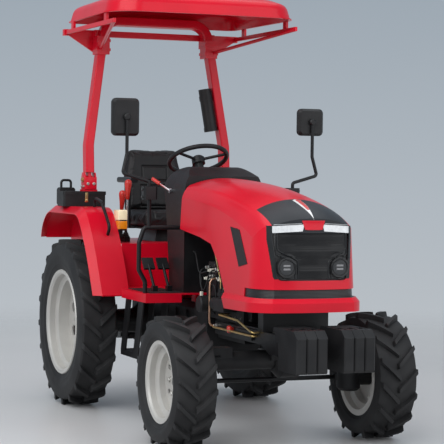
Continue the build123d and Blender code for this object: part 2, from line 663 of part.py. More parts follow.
def front_weights():
    """Two stacks of hung cast weights, each with a hook over the rail, a hand pocket and a grip bar."""
    x1 = WEIGHT_FRONT_X
    x0 = x1 - WEIGHT_LENGTH
    half = WEIGHT_THICKNESS / 2
    low, top = WEIGHT_LOW_Z, WEIGHT_TOP_Z
    outline = [
        (x0 + 30, low), (x1 - 14, low), (x1, low + 16), (x1, top - 40), (x1 - 46, top), (x0 + 12, top),
        (x0, top - 12), (x0, low + 60),
    ]
    made = []
    for sign in (RIGHT, LEFT):
        for k in range(WEIGHTS_PER_SIDE):
            middle = sign * (WEIGHT_INNER_Y + half + k * WEIGHT_PITCH)
            plate = side_plate(outline, middle - half, middle + half)
            rim_edges = plate.faces().sort_by(Axis.X)[-1].edges().filter_by(Axis.Z)
            plate = chamfer(rim_edges, 7)
            plate -= block(x0 - 10, HANGER_FRONT_X + SEAT_GAP, middle - 40, middle + 40, 0, HANGER_TOP_Z + SEAT_GAP)
            plate -= block(x0 - 10, HANGER_X + SEAT_GAP, middle - 40, middle + 40, 0, RAIL_BED_Z + 25)
            pocket = block(x1 - 165, x1 - 62, middle - half + 10, middle + half - 10, top - 46, top + 20)
            grip = pillar("y", (x1 - 112, top - 13), middle - half + 5, middle + half - 5, 11)
            made += joined([plate - pocket, grip]).solids()
    return Compound(made)


def front_axle():
    """Driven front axle beam with its differential, pivot block and kingpin bosses."""
    x = FRONT_AXLE_X
    top = KNUCKLE_TOP_Z + RUNNING_GAP
    beam = pillar("y", (x, AXLE_BEAM_Z), -KINGPIN_Y, KINGPIN_Y, AXLE_BEAM_RADIUS)
    diff = pillar("y", (x, AXLE_BEAM_Z), -30, 150, AXLE_DIFF_RADIUS)
    diff = chamfer(diff.edges().filter_by(GeomType.CIRCLE), 38)
    pivot = block(x - 70, x + 70, -60, 60, AXLE_BEAM_Z, CRADLE_LOW_Z)
    pinion = pillar("x", (60, AXLE_BEAM_Z - 20), x - 230, x, 55)
    body = joined([beam, diff, pivot, pinion])
    sleeve = pillar("z", (x, -KINGPIN_Y), KNUCKLE_LOW_Z - 50, top, KNUCKLE_RADIUS + 8)
    body -= joined([sleeve, other_side(sleeve)])
    end = joined([
        pillar("z", (x, -KINGPIN_Y), top, KNUCKLE_TOP_Z + 34, KNUCKLE_RADIUS - 4),
        block(x - 48, x + 48, -KINGPIN_Y, -KINGPIN_Y + 130, top, KNUCKLE_TOP_Z + 40),
        block(x - 48, x + 48, -KINGPIN_Y + 90, -KINGPIN_Y + 160, AXLE_BEAM_Z, KNUCKLE_TOP_Z + 40),
        pillar("z", (x, -KINGPIN_Y), KNUCKLE_TOP_Z - 60, KNUCKLE_TOP_Z + 20, KINGPIN_RADIUS),
    ])
    return joined([body, end, other_side(end)])


def knuckle(sign):
    """Steered drop housing with the wheel's stub shaft and the steering arm."""
    x, y = FRONT_AXLE_X, sign * KINGPIN_Y
    z = FRONT_TYRE_RADIUS
    half = STEERING_ARM_HALF
    case = pillar("z", (x, y), KNUCKLE_LOW_Z, KNUCKLE_TOP_Z, KNUCKLE_RADIUS)
    case = chamfer(case.edges().group_by(Axis.Z)[0], 16)
    disc = FRONT_DISC_Y - RUNNING_GAP
    hub = pillar("y", (x, z), y, sign * disc, FRONT_HUB_RADIUS - 6)
    stub = pillar("y", (x, z), y, sign * (disc + 36), FRONT_SHAFT_RADIUS)
    arm = block(x - STEERING_ARM_LENGTH, x, y - 16, y + 16, STEERING_ARM_Z - half, STEERING_ARM_Z + half)
    eye = pillar("z", (x - STEERING_ARM_LENGTH, y), STEERING_ARM_Z - half, STEERING_ARM_Z + half, 22)
    ball = pillar("z", (x - STEERING_ARM_LENGTH, y), STEERING_ARM_Z, STEERING_ARM_Z + 46, BALL_PIN_RADIUS)
    body = joined([case, hub, stub, arm, eye, ball])
    return body - pillar("z", (x, y), KNUCKLE_TOP_Z - 62, KNUCKLE_TOP_Z + 10, KINGPIN_RADIUS + RUNNING_GAP)


def tie_rod():
    """Track rod between the two steering arms."""
    x = FRONT_AXLE_X - STEERING_ARM_LENGTH
    z = STEERING_ARM_Z + STEERING_ARM_HALF + RUNNING_GAP + TIE_ROD_END
    bar = pillar("y", (x, z), -KINGPIN_Y, KINGPIN_Y, TIE_ROD_RADIUS)
    ends = [pillar("z", (x, s * KINGPIN_Y), z - TIE_ROD_END, z + TIE_ROD_END, 24) for s in (RIGHT, LEFT)]
    holes = [
        pillar("z", (x, s * KINGPIN_Y), z - 40, z + 40, BALL_PIN_RADIUS + RUNNING_GAP) for s in (RIGHT, LEFT)
    ]
    return joined([bar, *ends]) - joined(holes)


def bonnet_section(x, crown, shoulder, inset):
    """Cross-section of the bonnet: an arched top and sides that swell out below the shoulders."""
    low = BONNET_LOW_Z - 80
    side = BONNET_HALF_WIDTH - inset
    waist = shoulder - 125
    y = BONNET_SHOULDER_Y - inset / 2
    shoulder -= 0.9 * inset
    arch = ThreePointArc((x, -y, shoulder), (x, 0, crown - inset), (x, y, shoulder))
    left = Spline(
        (x, y, shoulder), (x, side - 16, waist), (x, side, low), tangents=((0, 0.82, -0.57), (0, 0.02, -1))
    )
    right = Spline(
        (x, -side, low), (x, -side + 16, waist), (x, -y, shoulder), tangents=((0, 0.02, 1), (0, 0.82, 0.57))
    )
    return make_face(Wire([arch, left, Line((x, side, low), (x, -side, low)), right]))


def bonnet_plan(inset):
    """Plan outline of the bonnet, drawn in by an inset: straight sides, round corners and a bowed nose."""
    half = BONNET_HALF_WIDTH + 6 - inset
    front = BONNET_FRONT_X - inset
    rear = BONNET_REAR_X - 220
    side_end = front - 200
    corner_y = 0.72 * half
    right = Line((rear, -half), (side_end, -half))
    corner = ThreePointArc((side_end, -half), (front - 80, -half + 36), (front - 30, -corner_y))
    nose = ThreePointArc((front - 30, -corner_y), (front, 0), (front - 30, corner_y))
    other = ThreePointArc((front - 30, corner_y), (front - 80, half - 36), (side_end, half))
    left = Line((side_end, half), (rear, half))
    back = Line((rear, half), (rear, -half))
    return make_face(Wire([right, corner, nose, other, left, back]))


def bonnet_body(inset):
    """Solid under the bonnet's outer surface, drawn in by an inset, with the lip round its foot."""
    sections = [
        bonnet_section(BONNET_REAR_X + share * BONNET_LENGTH, BONNET_TOP_Z - drop, BONNET_TOP_Z - drop - fall, inset)
        for share, drop, fall in BONNET_STATIONS
    ]
    foot = Pos(0, 0, BONNET_LOW_Z - 60)
    column = extrude(foot * bonnet_plan(inset), amount=BONNET_TOP_Z - BONNET_LOW_Z + 200, taper=BONNET_SIDE_DRAFT)
    lip = extrude(foot * bonnet_plan(inset - BONNET_LIP), amount=60 + BONNET_LIP_HEIGHT)
    slope = extrude(lip.faces().sort_by(Axis.Z)[-1], amount=BONNET_LIP_SLOPE, taper=40)
    return joined([loft(sections) & column, lip, slope])


def bonnet_cutter():
    """What lies behind the bonnet's rear edge and under its lower edge."""
    rear, axle = BONNET_REAR_X, FRONT_AXLE_X
    high, low = BONNET_TOP_Z + 200, BONNET_LOW_Z
    outline = [
        (rear - 400, high), (rear, high), (rear, low + 398), (axle - 450, low + 363), (axle - 280, low + 333),
        (axle - 160, low + 238), (axle - 40, low + 88), (axle + 20, low), (axle + 720, low + 12),
        (axle + 720, low - 342), (rear - 400, low - 342),
    ]
    return side_plate(outline, -600, 600)


def face_outline(grow):
    """Front view of the black nose: a shield that is widest at the lamps."""
    foot, half = FACE_FOOT_HALF_WIDTH + grow, FACE_HALF_WIDTH + grow
    low = FACE_LOW_Z - grow
    top = BONNET_TOP_Z + 60
    return [(-foot, low), (foot, low), (half, LAMP_LOW_Z - 40), (half, top), (-half, top), (-half, LAMP_LOW_Z - 40)]


def bonnet():
    """Bonnet shell with its black nose panel, grille, lamps, intake and side vents."""
    gap = SEAT_GAP
    front = BONNET_FRONT_X + 140
    outer, inner = bonnet_body(0.0), bonnet_body(BONNET_SHEET)
    skin = outer - inner - bonnet_cutter()
    backing = bonnet_body(BONNET_SHEET + gap)
    liner = backing - bonnet_body(BONNET_SHEET + gap + GRILLE_SHEET)

    brow = side_plate(
        [(NOSE_REAR_X, BONNET_TOP_Z + 60), (front, BONNET_TOP_Z + 60), (front, FACE_LOW_Z - 20),
         (FACE_X, FACE_LOW_Z - 20), (FACE_X, LAMP_LOW_Z - 20), (NOSE_REAR_X, LAMP_LOW_Z + 40)],
        -BONNET_HALF_WIDTH, BONNET_HALF_WIDTH,
    )
    face_room = front_on_plate(face_outline(0), NOSE_REAR_X - 50, front)
    foot_edges = face_room.edges().filter_by(Axis.X).group_by(Axis.Z)[0]
    face_room = fillet(foot_edges, FACE_CORNER) & brow

    lamp = front_on_plate(
        [(-LAMP_INNER_Y, LAMP_LOW_Z), (-LAMP_INNER_Y + 10, LAMP_TOP_Z), (-FACE_HALF_WIDTH + gap, LAMP_TOP_Z - LAMP_DROP),
         (-FACE_HALF_WIDTH + gap, LAMP_LOW_Z - LAMP_DROP)], FACE_X, front,
    )
    plaque_half = LAMP_INNER_Y - 12
    plaque = front_on_plate(
        [(-plaque_half + 14, LAMP_LOW_Z + 6), (plaque_half - 14, LAMP_LOW_Z + 6), (plaque_half, LAMP_TOP_Z),
         (-plaque_half, LAMP_TOP_Z)], FACE_X, front,
    )
    panel_low = LAMP_LOW_Z - LAMP_DROP - gap
    panel_room = face_room & block(NOSE_REAR_X + gap, front, -FACE_HALF_WIDTH + gap, FACE_HALF_WIDTH - gap,
                                   panel_low, BONNET_TOP_Z + 60)
    lamps_room = joined([
        Pos(0, 0, -gap) * lamp, Pos(0, 0, gap) * lamp, Pos(0, gap, 0) * lamp, Pos(0, -gap, 0) * lamp,
    ])
    plaque_room = joined([Pos(0, y, z) * plaque for y, z in ((gap, 0), (-gap, 0), (0, gap), (0, -gap))])

    intake = block(FRONT_AXLE_X + 240, front, -400, 400, INTAKE_LOW_Z, INTAKE_TOP_Z)
    intake_backing = block(FRONT_AXLE_X + 225, front, -400, 400, INTAKE_LOW_Z - 12, INTAKE_TOP_Z + 12)
    vent_outline = [
        (FRONT_AXLE_X + 4, LAMP_LOW_Z + 6), (FRONT_AXLE_X + 96, LAMP_LOW_Z + 2), (FRONT_AXLE_X + 206, FACE_LOW_Z + 84),
        (FRONT_AXLE_X + 150, FACE_LOW_Z + 66),
    ]
    vents = side_plate(vent_outline, -400, 400)
    vent_middle = [sum(values) / len(vent_outline) for values in zip(*vent_outline)]
    vent_backing = side_plate(
        [tuple(m + 1.18 * (v - m) for v, m in zip(corner, vent_middle)) for corner in vent_outline], -400, 400
    )
    sides_only = joined([block(0, front, sign * 180, sign * 400, 0, 2000) for sign in (RIGHT, LEFT)])

    lug_x, lug_z = BONNET_PIVOT
    hollow = bonnet_body(BONNET_SHEET / 2)
    lugs = [
        block(lug_x - 12, lug_x + 30, y, y + 14, lug_z - 14, BONNET_TOP_Z + 50) & hollow
        for y in (-BONNET_LUG_Y - 7, BONNET_LUG_Y - 7)
    ]
    bore = pillar("y", BONNET_PIVOT, -BONNET_LUG_Y - 30, BONNET_LUG_Y + 30, BONNET_PIN_RADIUS + RUNNING_GAP)
    shell = joined([skin - face_room - intake - vents, *lugs]) - bore
    badge = skin & plaque

    lamp_x = BONNET_FRONT_X - 22
    spots = [(sign * ROUND_LAMP_Y, ROUND_LAMP_Z) for sign in (RIGHT, LEFT)]
    pod_radius = ROUND_LAMP_RADIUS + POD_WALL
    pods = [pillar("x", spot, lamp_x - 60, lamp_x + 4, pod_radius) for spot in spots]
    wells = [pillar("x", spot, lamp_x - 22, lamp_x + 10, ROUND_LAMP_RADIUS + gap) for spot in spots]
    slot_pitch = (LAMP_LOW_Z - FACE_LOW_Z - 70) / GRILLE_SLOTS
    slots = []
    for k in range(GRILLE_SLOTS):
        z = FACE_LOW_Z + 35 + k * slot_pitch
        free = 78 if z < ROUND_LAMP_Z + pod_radius + 8 else FACE_HALF_WIDTH - 45
        slots.append(block(FACE_X, front, -free, free, z, z + 0.5 * slot_pitch))
    mesh_room = front_on_plate(face_outline(12), FACE_X - 40, front) & block(
        FACE_X - 40, front, -BONNET_HALF_WIDTH, BONNET_HALF_WIDTH, 0, LAMP_LOW_Z - LAMP_DROP + 14)
    inside = front_on_plate(face_outline(-1), FACE_X - 40, front)
    mesh = joined([(liner & mesh_room) - joined(slots), *[pod & (inside + backing) for pod in pods]]) - joined(wells)
    lens = [pillar("x", spot, lamp_x - 22 + gap, lamp_x, ROUND_LAMP_RADIUS) for spot in spots]
    strip = skin & lamp
    inserts = [*(liner & intake_backing).solids(), *(liner & vent_backing & sides_only).solids()]
    return {
        "bonnet_shell": Compound([*shell.solids(), *badge.solids()]),
        "nose_panel": (skin & panel_room) - lamps_room - other_side(lamps_room) - plaque_room,
        "grille": Compound([*mesh.solids(), *inserts]),
        "headlamps": Compound([*both_sides(strip).solids(), *lens]),
    }


def platform():
    """Welded red floor: plate with skirts, bearers on the gearbox, and the deck under the seat."""
    top, low = PLATFORM_TOP_Z, PLATFORM_TOP_Z - PLATFORM_PLATE
    hem = PLATFORM_TOP_Z - PLATFORM_SKIRT
    edge = PLATFORM_HALF_WIDTH
    wide_from = FENDER_FRONT_X + 20
    inner = FENDER_INNER_Y - SEAT_GAP
    plates = [
        block(PLATFORM_REAR_X, wide_from, -inner, inner, low, top),
        block(wide_from, PLATFORM_FRONT_X, -edge, edge, low, top),
    ]
    skirt = joined([
        block(wide_from, PLATFORM_FRONT_X, -edge, -edge + SHEET, hem, top),
        block(PLATFORM_FRONT_X - SHEET, PLATFORM_FRONT_X, -edge, -DASH_HALF_WIDTH - 32, hem, top),
    ])
    bearers = [block(x, x + 60, -120, 120, GEARBOX_TOP_Z, low) for x in (480, 780)]
    deck = block(DECK_REAR_X, PLATFORM_REAR_X + SHEET, -inner, inner, DECK_TOP_Z - SHEET, DECK_TOP_Z)
    riser = block(PLATFORM_REAR_X, PLATFORM_REAR_X + SHEET, -inner, inner, low, DECK_TOP_Z)
    stand = block(-200, 60, -100, 100, LIFT_SHAFT_Z + 100, DECK_TOP_Z - SHEET)
    notch = block(LEG_REAR_X - 8, LEG_FRONT_X + 8, -edge, -LEG_INNER_Y + 8, DECK_TOP_Z - 100, DECK_TOP_Z + 100)
    deck = joined([deck, stand]) - joined([notch, other_side(notch)])
    return joined([*plates, skirt, other_side(skirt), *bearers, deck, riser])


def floor_mats():
    """Ribbed rubber mats on both sides of the floor."""
    front = DASH_FRONT_X + 7
    top = PLATFORM_TOP_Z + MAT_THICKNESS
    mat = block(FENDER_FRONT_X + 22, front, -MAT_OUTER_Y, -MAT_INNER_Y, PLATFORM_TOP_Z, top)
    ribs = [
        block(FENDER_FRONT_X + 40, front - 140, y, y + 6, top - 1, top + 2)
        for y in range(int(-MAT_OUTER_Y) + 20, int(-MAT_INNER_Y) - 20, 22)
    ]
    return both_sides(joined([mat, *ribs]))


def boarding_steps():
    """Hung steps: slanted plates with a turned-in edge, and a tread with an upturned lip between them."""
    top = PLATFORM_TOP_Z - PLATFORM_PLATE
    outer = PLATFORM_HALF_WIDTH - SHEET - 1
    inner = outer - STEP_DEPTH
    lean = 100
    width = 84
    parts = []
    for x in (FENDER_FRONT_X + 98, FENDER_FRONT_X + 328):
        slant = [(x, top), (x + width, top), (x + width - lean, STEP_Z), (x - lean, STEP_Z)]
        edge = [(x, top), (x + STEP_PLATE, top), (x + STEP_PLATE - lean, STEP_Z), (x - lean, STEP_Z)]
        parts += [
            side_plate(slant, -outer, -outer + STEP_PLATE), side_plate(slant, -inner - STEP_PLATE, -inner),
            side_plate(edge, -outer, -outer + 30),
        ]
    tread_x = FENDER_FRONT_X - 2
    tread_end = FENDER_FRONT_X + 328 + width - lean
    parts += [
        block(tread_x, tread_end, -outer, -inner, STEP_Z - 12, STEP_Z),
        block(tread_x, tread_end, -outer, -outer + SHEET, STEP_Z - 34, STEP_Z),
    ]
    return both_sides(joined(parts))


def mirror_arm(height):
    """Cranked arm from the clamp on the guard up in front of the mirror's head to its ball joint."""
    x = RAIL_X
    clamp_y = 458
    shin = RAIL_TOP_Z + 238
    middle = MIRROR_Z if height == MIRROR_HEIGHT_RIGHT else MIRROR_Z - 4
    front = x - 14
    arm = bent_tube(
        [(x, -clamp_y, shin - 20), (x, -clamp_y, shin + 30), (x - 4, -MIRROR_Y - 28, shin + 76),
         (front, -MIRROR_Y, shin + 190), (front, -MIRROR_Y, middle)],
        MIRROR_ARM_RADIUS, 18,
    )
    ball = pillar("x", (-MIRROR_Y, middle), x - 25 + SEAT_GAP, front + 14, 20)
    return joined([arm, chamfer(ball.edges().group_by(Axis.X)[-1], 6)])


def handrails():
    """Tubular guards in front of the driver's legs, with posts, clamps and the cranked mirror arms."""
    x = RAIL_X
    loop = bent_tube(
        [(x, -DASH_HALF_WIDTH - SEAT_GAP, RAIL_TOP_Z), (x, -485, RAIL_TOP_Z), (x, -515, RAIL_TOP_Z - 87),
         (x, -515, RAIL_TOP_Z - 247), (x, -475, RAIL_TOP_Z - 317), (x, -475, PLATFORM_TOP_Z)],
        RAIL_RADIUS, 30,
    )
    post = pillar("z", (x, -455), RAIL_TOP_Z, RAIL_TOP_Z + 170, 12)
    clamp = block(x - 30, x + 30, -497, -413, RAIL_TOP_Z + 163, RAIL_TOP_Z + 238)
    clamp = chamfer(clamp.edges().filter_by(Axis.Z), 12)
    guard = joined([loop, post, clamp])
    right = joined([guard, mirror_arm(MIRROR_HEIGHT_RIGHT)])
    left = other_side(joined([guard, mirror_arm(MIRROR_HEIGHT_LEFT)]))
    return Compound([*right.solids(), *left.solids()])


def mirror_heads():
    """Mirror heads with a domed shell: an upright one on the right and a squarer one on the left."""
    made = []
    for sign, height, middle in (
        (RIGHT, MIRROR_HEIGHT_RIGHT, MIRROR_Z), (LEFT, MIRROR_HEIGHT_LEFT, MIRROR_Z - 4),
    ):
        back = RAIL_X - 25
        plate = Plane(origin=(back - MIRROR_DEPTH, sign * MIRROR_Y, middle), x_dir=(0, 1, 0), z_dir=(1, 0, 0))
        glass = plate * RectangleRounded(MIRROR_WIDTH, height, 28)
        rim_part = extrude(glass, amount=0.55 * MIRROR_DEPTH)
        dome = extrude(rim_part.faces().sort_by(Axis.X)[-1], amount=0.45 * MIRROR_DEPTH, taper=38)
        made += joined([rim_part, dome]).solids()
    return Compound(made)


def dash_body():
    """Dash console with a domed cowl and knee recess."""
    rear, front = DASH_REAR_X, DASH_FRONT_X
    top = DASH_TOP_Z
    side = Wire([
        Line((front, 0, PLATFORM_TOP_Z), (front, 0, top - 62)),
        Spline((front, 0, top - 62), (front - 130, 0, top - 12), (rear + 90, 0, top - 22), (rear, 0, top - 112),
               tangents=((-1, 0, 0.32), (-0.35, 0, -1))),
        *Polyline((rear, 0, top - 112), (rear + 60, 0, top - 392), (rear + 110, 0, PLATFORM_TOP_Z),
                  (front, 0, PLATFORM_TOP_Z)).edges(),
    ])
    body = extrude(make_face(side), amount=DASH_HALF_WIDTH, dir=(0, 1, 0), both=True)
    arch = FilletPolyline(
        (0, -DASH_HALF_WIDTH, PLATFORM_TOP_Z), (0, -DASH_HALF_WIDTH, top + 4), (0, DASH_HALF_WIDTH, top + 4),
        (0, DASH_HALF_WIDTH, PLATFORM_TOP_Z), radius=DASH_CROWN_RADIUS,
    )
    foot = Line((0, DASH_HALF_WIDTH, PLATFORM_TOP_Z), (0, -DASH_HALF_WIDTH, PLATFORM_TOP_Z))
    crown = extrude(make_face(Wire([*arch.edges(), foot])), amount=front + 50, dir=(1, 0, 0))
    return body & crown


def along_column(distance):
    """Point on the steering column's axis, measured down from the wheel's middle."""
    lean = radians(STEERING_WHEEL_TILT)
    return (STEERING_WHEEL_X + distance * sin(lean), 0, STEERING_WHEEL_Z - distance * cos(lean))


def dash_console():
    """Dash console with the steering column and the shaft end that carries the wheel."""
    tube = rod(along_column(34), along_column(260), 27)
    shaft = rod(along_column(-8), along_column(60), STEERING_SHAFT_RADIUS)
    return joined([dash_body(), tube, shaft])


def firewall():
    """Plate between engine and driver, shaped like the bonnet's rear edge, with the bonnet's pivot ears."""
    x0, x1 = DASH_FRONT_X + 0.2, DASH_FRONT_X + 6
    shoulder = BONNET_TOP_Z - 62
    half = DASH_HALF_WIDTH + 5
    plate = front_on_plate(
        [(-half, PLATFORM_TOP_Z), (half, PLATFORM_TOP_Z), (half, shoulder - 110), (half - 50, shoulder),
         (-half + 50, shoulder), (-half, shoulder - 110)], x0, x1,
    )
    px, pz = BONNET_PIVOT
    ear = [(x0 + 4, pz - 103), (px + 14, pz - 103), (px + 9, pz), (px - 9, pz), (px - 12, pz - 43), (x0 + 4, pz - 53)]
    inner, outer = BONNET_LUG_Y - 27, BONNET_LUG_Y - 15
    parts = [plate]
    for sign in (RIGHT, LEFT):
        parts += [
            side_plate(ear, sign * inner, sign * outer),
            pillar("y", BONNET_PIVOT, sign * (inner - 4), sign * (BONNET_LUG_Y + 15), BONNET_PIN_RADIUS),
            pillar("y", BONNET_PIVOT, sign * inner, sign * outer, BONNET_PIN_RADIUS + 3),
        ]
    return joined(parts)


def steering_wheel():
    """Steering wheel with three spokes and a domed boss, bored for its shaft."""
    plane = Plane(origin=along_column(0), z_dir=Vector(*along_column(-1)) - Vector(*along_column(0)))
    ring = Torus(STEERING_WHEEL_RADIUS, STEERING_RIM_RADIUS)
    hub = turned_upright([(0, -33), (40, -33), (40, 6), (28, 17), (0, 17)])
    spoke = Pos(20, 0, -6) * Rot(0, 90, 0) * Cylinder(
        9, STEERING_WHEEL_RADIUS - 20, align=(Align.CENTER, Align.CENTER, Align.MIN)
    )
    spokes = [Rot(0, 0, 60 + 360 * k / STEERING_SPOKES) * spoke for k in range(STEERING_SPOKES)]
    bore = Pos(0, 0, -40) * Cylinder(
        STEERING_SHAFT_RADIUS + RUNNING_GAP, 49, align=(Align.CENTER, Align.CENTER, Align.MIN)
    )
    return plane * (joined([ring, hub, *spokes]) - bore)


def fender_line(inset):
    """Fender's top line in side view from front to rear, drawn in towards the axle by an inset."""
    top = FENDER_TOP_Z - inset
    front_x, rear_x = FENDER_FRONT_X - inset, FENDER_REAR_X + inset
    flat_front, flat_rear = FENDER_FLAT_FRONT_X, FENDER_FLAT_REAR_X
    run, fall = front_x - flat_front, top - FENDER_FRONT_Z
    slope = Spline(
        (front_x, 0, FENDER_FRONT_Z), (flat_front + 0.64 * run, 0, top - 0.46 * fall),
        (flat_front + 0.35 * run, 0, top - 0.14 * fall), (flat_front, 0, top),
        tangents=((-0.5, 0, 0.86), (-1, 0, 0)),
    )
    flat = Line((flat_front, 0, top), (flat_rear, 0, top))
    tail = Spline(
        (flat_rear, 0, top), (flat_rear + 0.72 * (rear_x - flat_rear), 0, top - 0.36 * (top - FENDER_REAR_Z)),
        (rear_x, 0, FENDER_REAR_Z), tangents=((-1, 0, 0), (-0.12, 0, -1)),
    )
    return [slope, flat, tail]


def fender_area(inset, low):
    """Area under the fender's top line, closed at a level, or along a slanted rear edge if none is given."""
    front_x, rear_x = FENDER_FRONT_X - inset, FENDER_REAR_X + inset
    if low is None:
        rest = Polyline((rear_x, 0, FENDER_REAR_Z), (rear_x + 240, 0, FENDER_FRONT_Z), (front_x, 0, FENDER_FRONT_Z))
    else:
        rest = Polyline((rear_x, 0, FENDER_REAR_Z), (rear_x, 0, low), (front_x, 0, low), (front_x, 0, FENDER_FRONT_Z))
    return make_face(Wire([*fender_line(inset), *rest.edges()]))


def fender():
    """Right-hand fender: inner wall, top sheet, sloped outer flange and rolled ends."""
    flat_end = FENDER_OUTER_Y - FENDER_FLANGE
    step = FENDER_SHEET
    away = (0, -1, 0)
    low = FENDER_FRONT_Z - 300
    drop = FENDER_FLANGE_DROP

    def sloped(inset, reach):
        faces = [Pos(0, -flat_end, 0) * fender_area(inset, low), Pos(0, -reach, 0) * fender_area(inset + drop, low)]
        return loft(faces, ruled=True)

    top = Pos(0, -FENDER_INNER_Y, 0) * extrude(fender_area(0, None), amount=flat_end - FENDER_INNER_Y, dir=away)
    room = Pos(0, -FENDER_INNER_Y - step, 0) * extrude(
        fender_area(step, low), amount=flat_end - FENDER_INNER_Y - step, dir=away
    )
    flange = sloped(0, FENDER_OUTER_Y) - sloped(1.2 * step, FENDER_OUTER_Y)
    keep = joined([
        block(-2000, 0, -900, 0, FENDER_REAR_Z, 2000), block(0, 2000, -900, 0, FENDER_FRONT_Z, 2000),
    ])
    beads = [
        pillar("y", (x, z), -FENDER_INNER_Y, -flat_end, FENDER_BEAD_RADIUS)
        for x, z in ((FENDER_FRONT_X - step, FENDER_FRONT_Z + 3), (FENDER_REAR_X + step, FENDER_REAR_Z + 3))
    ]
    return joined([top - room, flange & keep, *beads])


def seat():
    """Seat pan on its pedestal with armrests, cushion and back."""
    x1, x0 = SEAT_FRONT_X, SEAT_FRONT_X - SEAT_LENGTH
    low = SEAT_LOW_Z
    half = SEAT_WIDTH / 2
    back_half = SEAT_BACK_WIDTH / 2
    tilt = Pos(x0 - 5, 0, low + SEAT_CUSHION_HEIGHT - 5) * Rot(0, -SEAT_BACK_RECLINE, 0)
    back = front_on_plate(
        [(-back_half, 0), (back_half, 0), (back_half, 0.62 * SEAT_BACK_HEIGHT), (back_half - 34, SEAT_BACK_HEIGHT),
         (-back_half + 34, SEAT_BACK_HEIGHT), (-back_half, 0.62 * SEAT_BACK_HEIGHT)], -SEAT_BACK_THICKNESS, 0,
    )
    back = tilt * fillet(back.edges(), SEAT_ROUNDING)
    cushion = fillet(block(x0, x1, -half, half, low, low + SEAT_CUSHION_HEIGHT).edges(), SEAT_ROUNDING)
    strap = tilt * block(-SEAT_BACK_THICKNESS - 9, -SEAT_BACK_THICKNESS - 0.2, -90, 90, -96, 250)
    pedestal = frustum(
        [(x0 + 60, -130, DECK_TOP_Z), (x1 - 60, -130, DECK_TOP_Z), (x1 - 60, 130, DECK_TOP_Z),
         (x0 + 60, 130, DECK_TOP_Z)],
        [(x0 + 80, -110, low - SEAT_PAN), (x1 - 80, -110, low - SEAT_PAN), (x1 - 80, 110, low - SEAT_PAN),
         (x0 + 80, 110, low - SEAT_PAN)],
    )
    arm_out = half + 58
    pad = fillet(block(x0 + 20, x1 - 100, -arm_out, -half - 8, ARMREST_Z, ARMREST_Z + 36).edges().filter_by(Axis.X), 14)
    arm = joined([
        pad,
        block(x0 + 120, x0 + 160, -half - 22, -half - 8, low - SEAT_PAN, ARMREST_Z + 4),
        block(x0 + 120, x0 + 160, -half - 22, -190, low - SEAT_PAN, low - 1),
    ])
    pan = block(x0 - 118, x1 - 20, -200, 200, low - SEAT_PAN, low)
    return {
        "seat_base": joined([pedestal, pan, strap, arm, other_side(arm)]),
        "seat_cushion": cushion,
        "seat_back": back,
    }


def levers():
    """Hand levers beside the seat and the throttle stalk on the dash, each with a knob."""
    made = []
    for x, y, top_z in ((150, -330, 1400), (40, -330, 1330), (120, 330, 1360)):
        plinth = block(x - 35, x + 35, y - 18, y + 18, DECK_TOP_Z, DECK_TOP_Z + 30)
        stem = rod((x, y, DECK_TOP_Z + 20), (x + 40, y, top_z), 7)
        knob = Pos(x + 40, y, top_z) * Sphere(22)
        made += joined([plinth, stem, knob]).solids()
    stalk_x, stalk_z = DASH_REAR_X + 130, DASH_TOP_Z - 152
    start = -DASH_HALF_WIDTH - SEAT_GAP
    stalk = joined([
        pillar("y", (stalk_x, stalk_z), start, start - 16, 16),
        rod((stalk_x, start - 10, stalk_z), (stalk_x - 60, start - 70, stalk_z + 50), 6),
        rod((stalk_x - 50, start - 60, stalk_z + 42), (stalk_x - 84, start - 94, stalk_z + 70), 11),
    ])
    return Compound([*made, *stalk.solids()])


def pedals():
    """Foot pedals on the floor, one on the left and two on the right, with ribbed pads."""
    made = []
    floor = PLATFORM_TOP_Z + MAT_THICKNESS
    for y in (-390, -300, 320):
        foot = block(850, 890, y - 15, y + 15, floor + 0.2, floor + 32)
        arm = rod((870, y, floor + 17), (760, y, floor + 150), 9)
        plate = Box(14, 70, 80) + joined([Pos(-8, 0, z) * Box(5, 62, 8) for z in (-26, 0, 26)])
        made += joined([foot, arm, Pos(755, y, floor + 156) * Rot(0, -40, 0) * plate]).solids()
    return Compound(made)


def marker_lamps():
    """Marker lamps on the fenders' inner walls and tail lamps behind the boxes."""
    wall = -FENDER_INNER_Y + SEAT_GAP
    foot_x = FENDER_FLAT_FRONT_X + 130
    body = block(foot_x + 30, foot_x + 96, wall + 2, wall + 58, FENDER_TOP_Z - 140, FENDER_TOP_Z - 12)
    body = fillet(body.edges(), 10)
    foot = block(foot_x, foot_x + 90, wall, wall + 30, FENDER_TOP_Z - 158, FENDER_TOP_Z - 132)
    marker = joined([body, foot])
    tail = block(-450, -412, -FENDER_OUTER_Y + 80, -FENDER_OUTER_Y + 150, FENDER_TOP_Z + SEAT_GAP, FENDER_TOP_Z + 62)
    return Compound([*both_sides(marker).solids(), *both_sides(tail).solids()])


def work_lamp():
    """Rear work lamp with a loop handle, on the right fender."""
    top = FENDER_TOP_Z
    body = block(-390, -320, -625, -520, top, top + 118)
    body = fillet(body.edges().filter_by(Axis.X), 18)
    loop = bent_tube(
        [(-355, -605, top + 110), (-355, -605, top + 165), (-355, -540, top + 165), (-355, -540, top + 110)], 8, 18
    )
    bezel = pillar("x", (-572.5, top + 60), -320, -308, 40)
    return joined([body, loop, bezel])


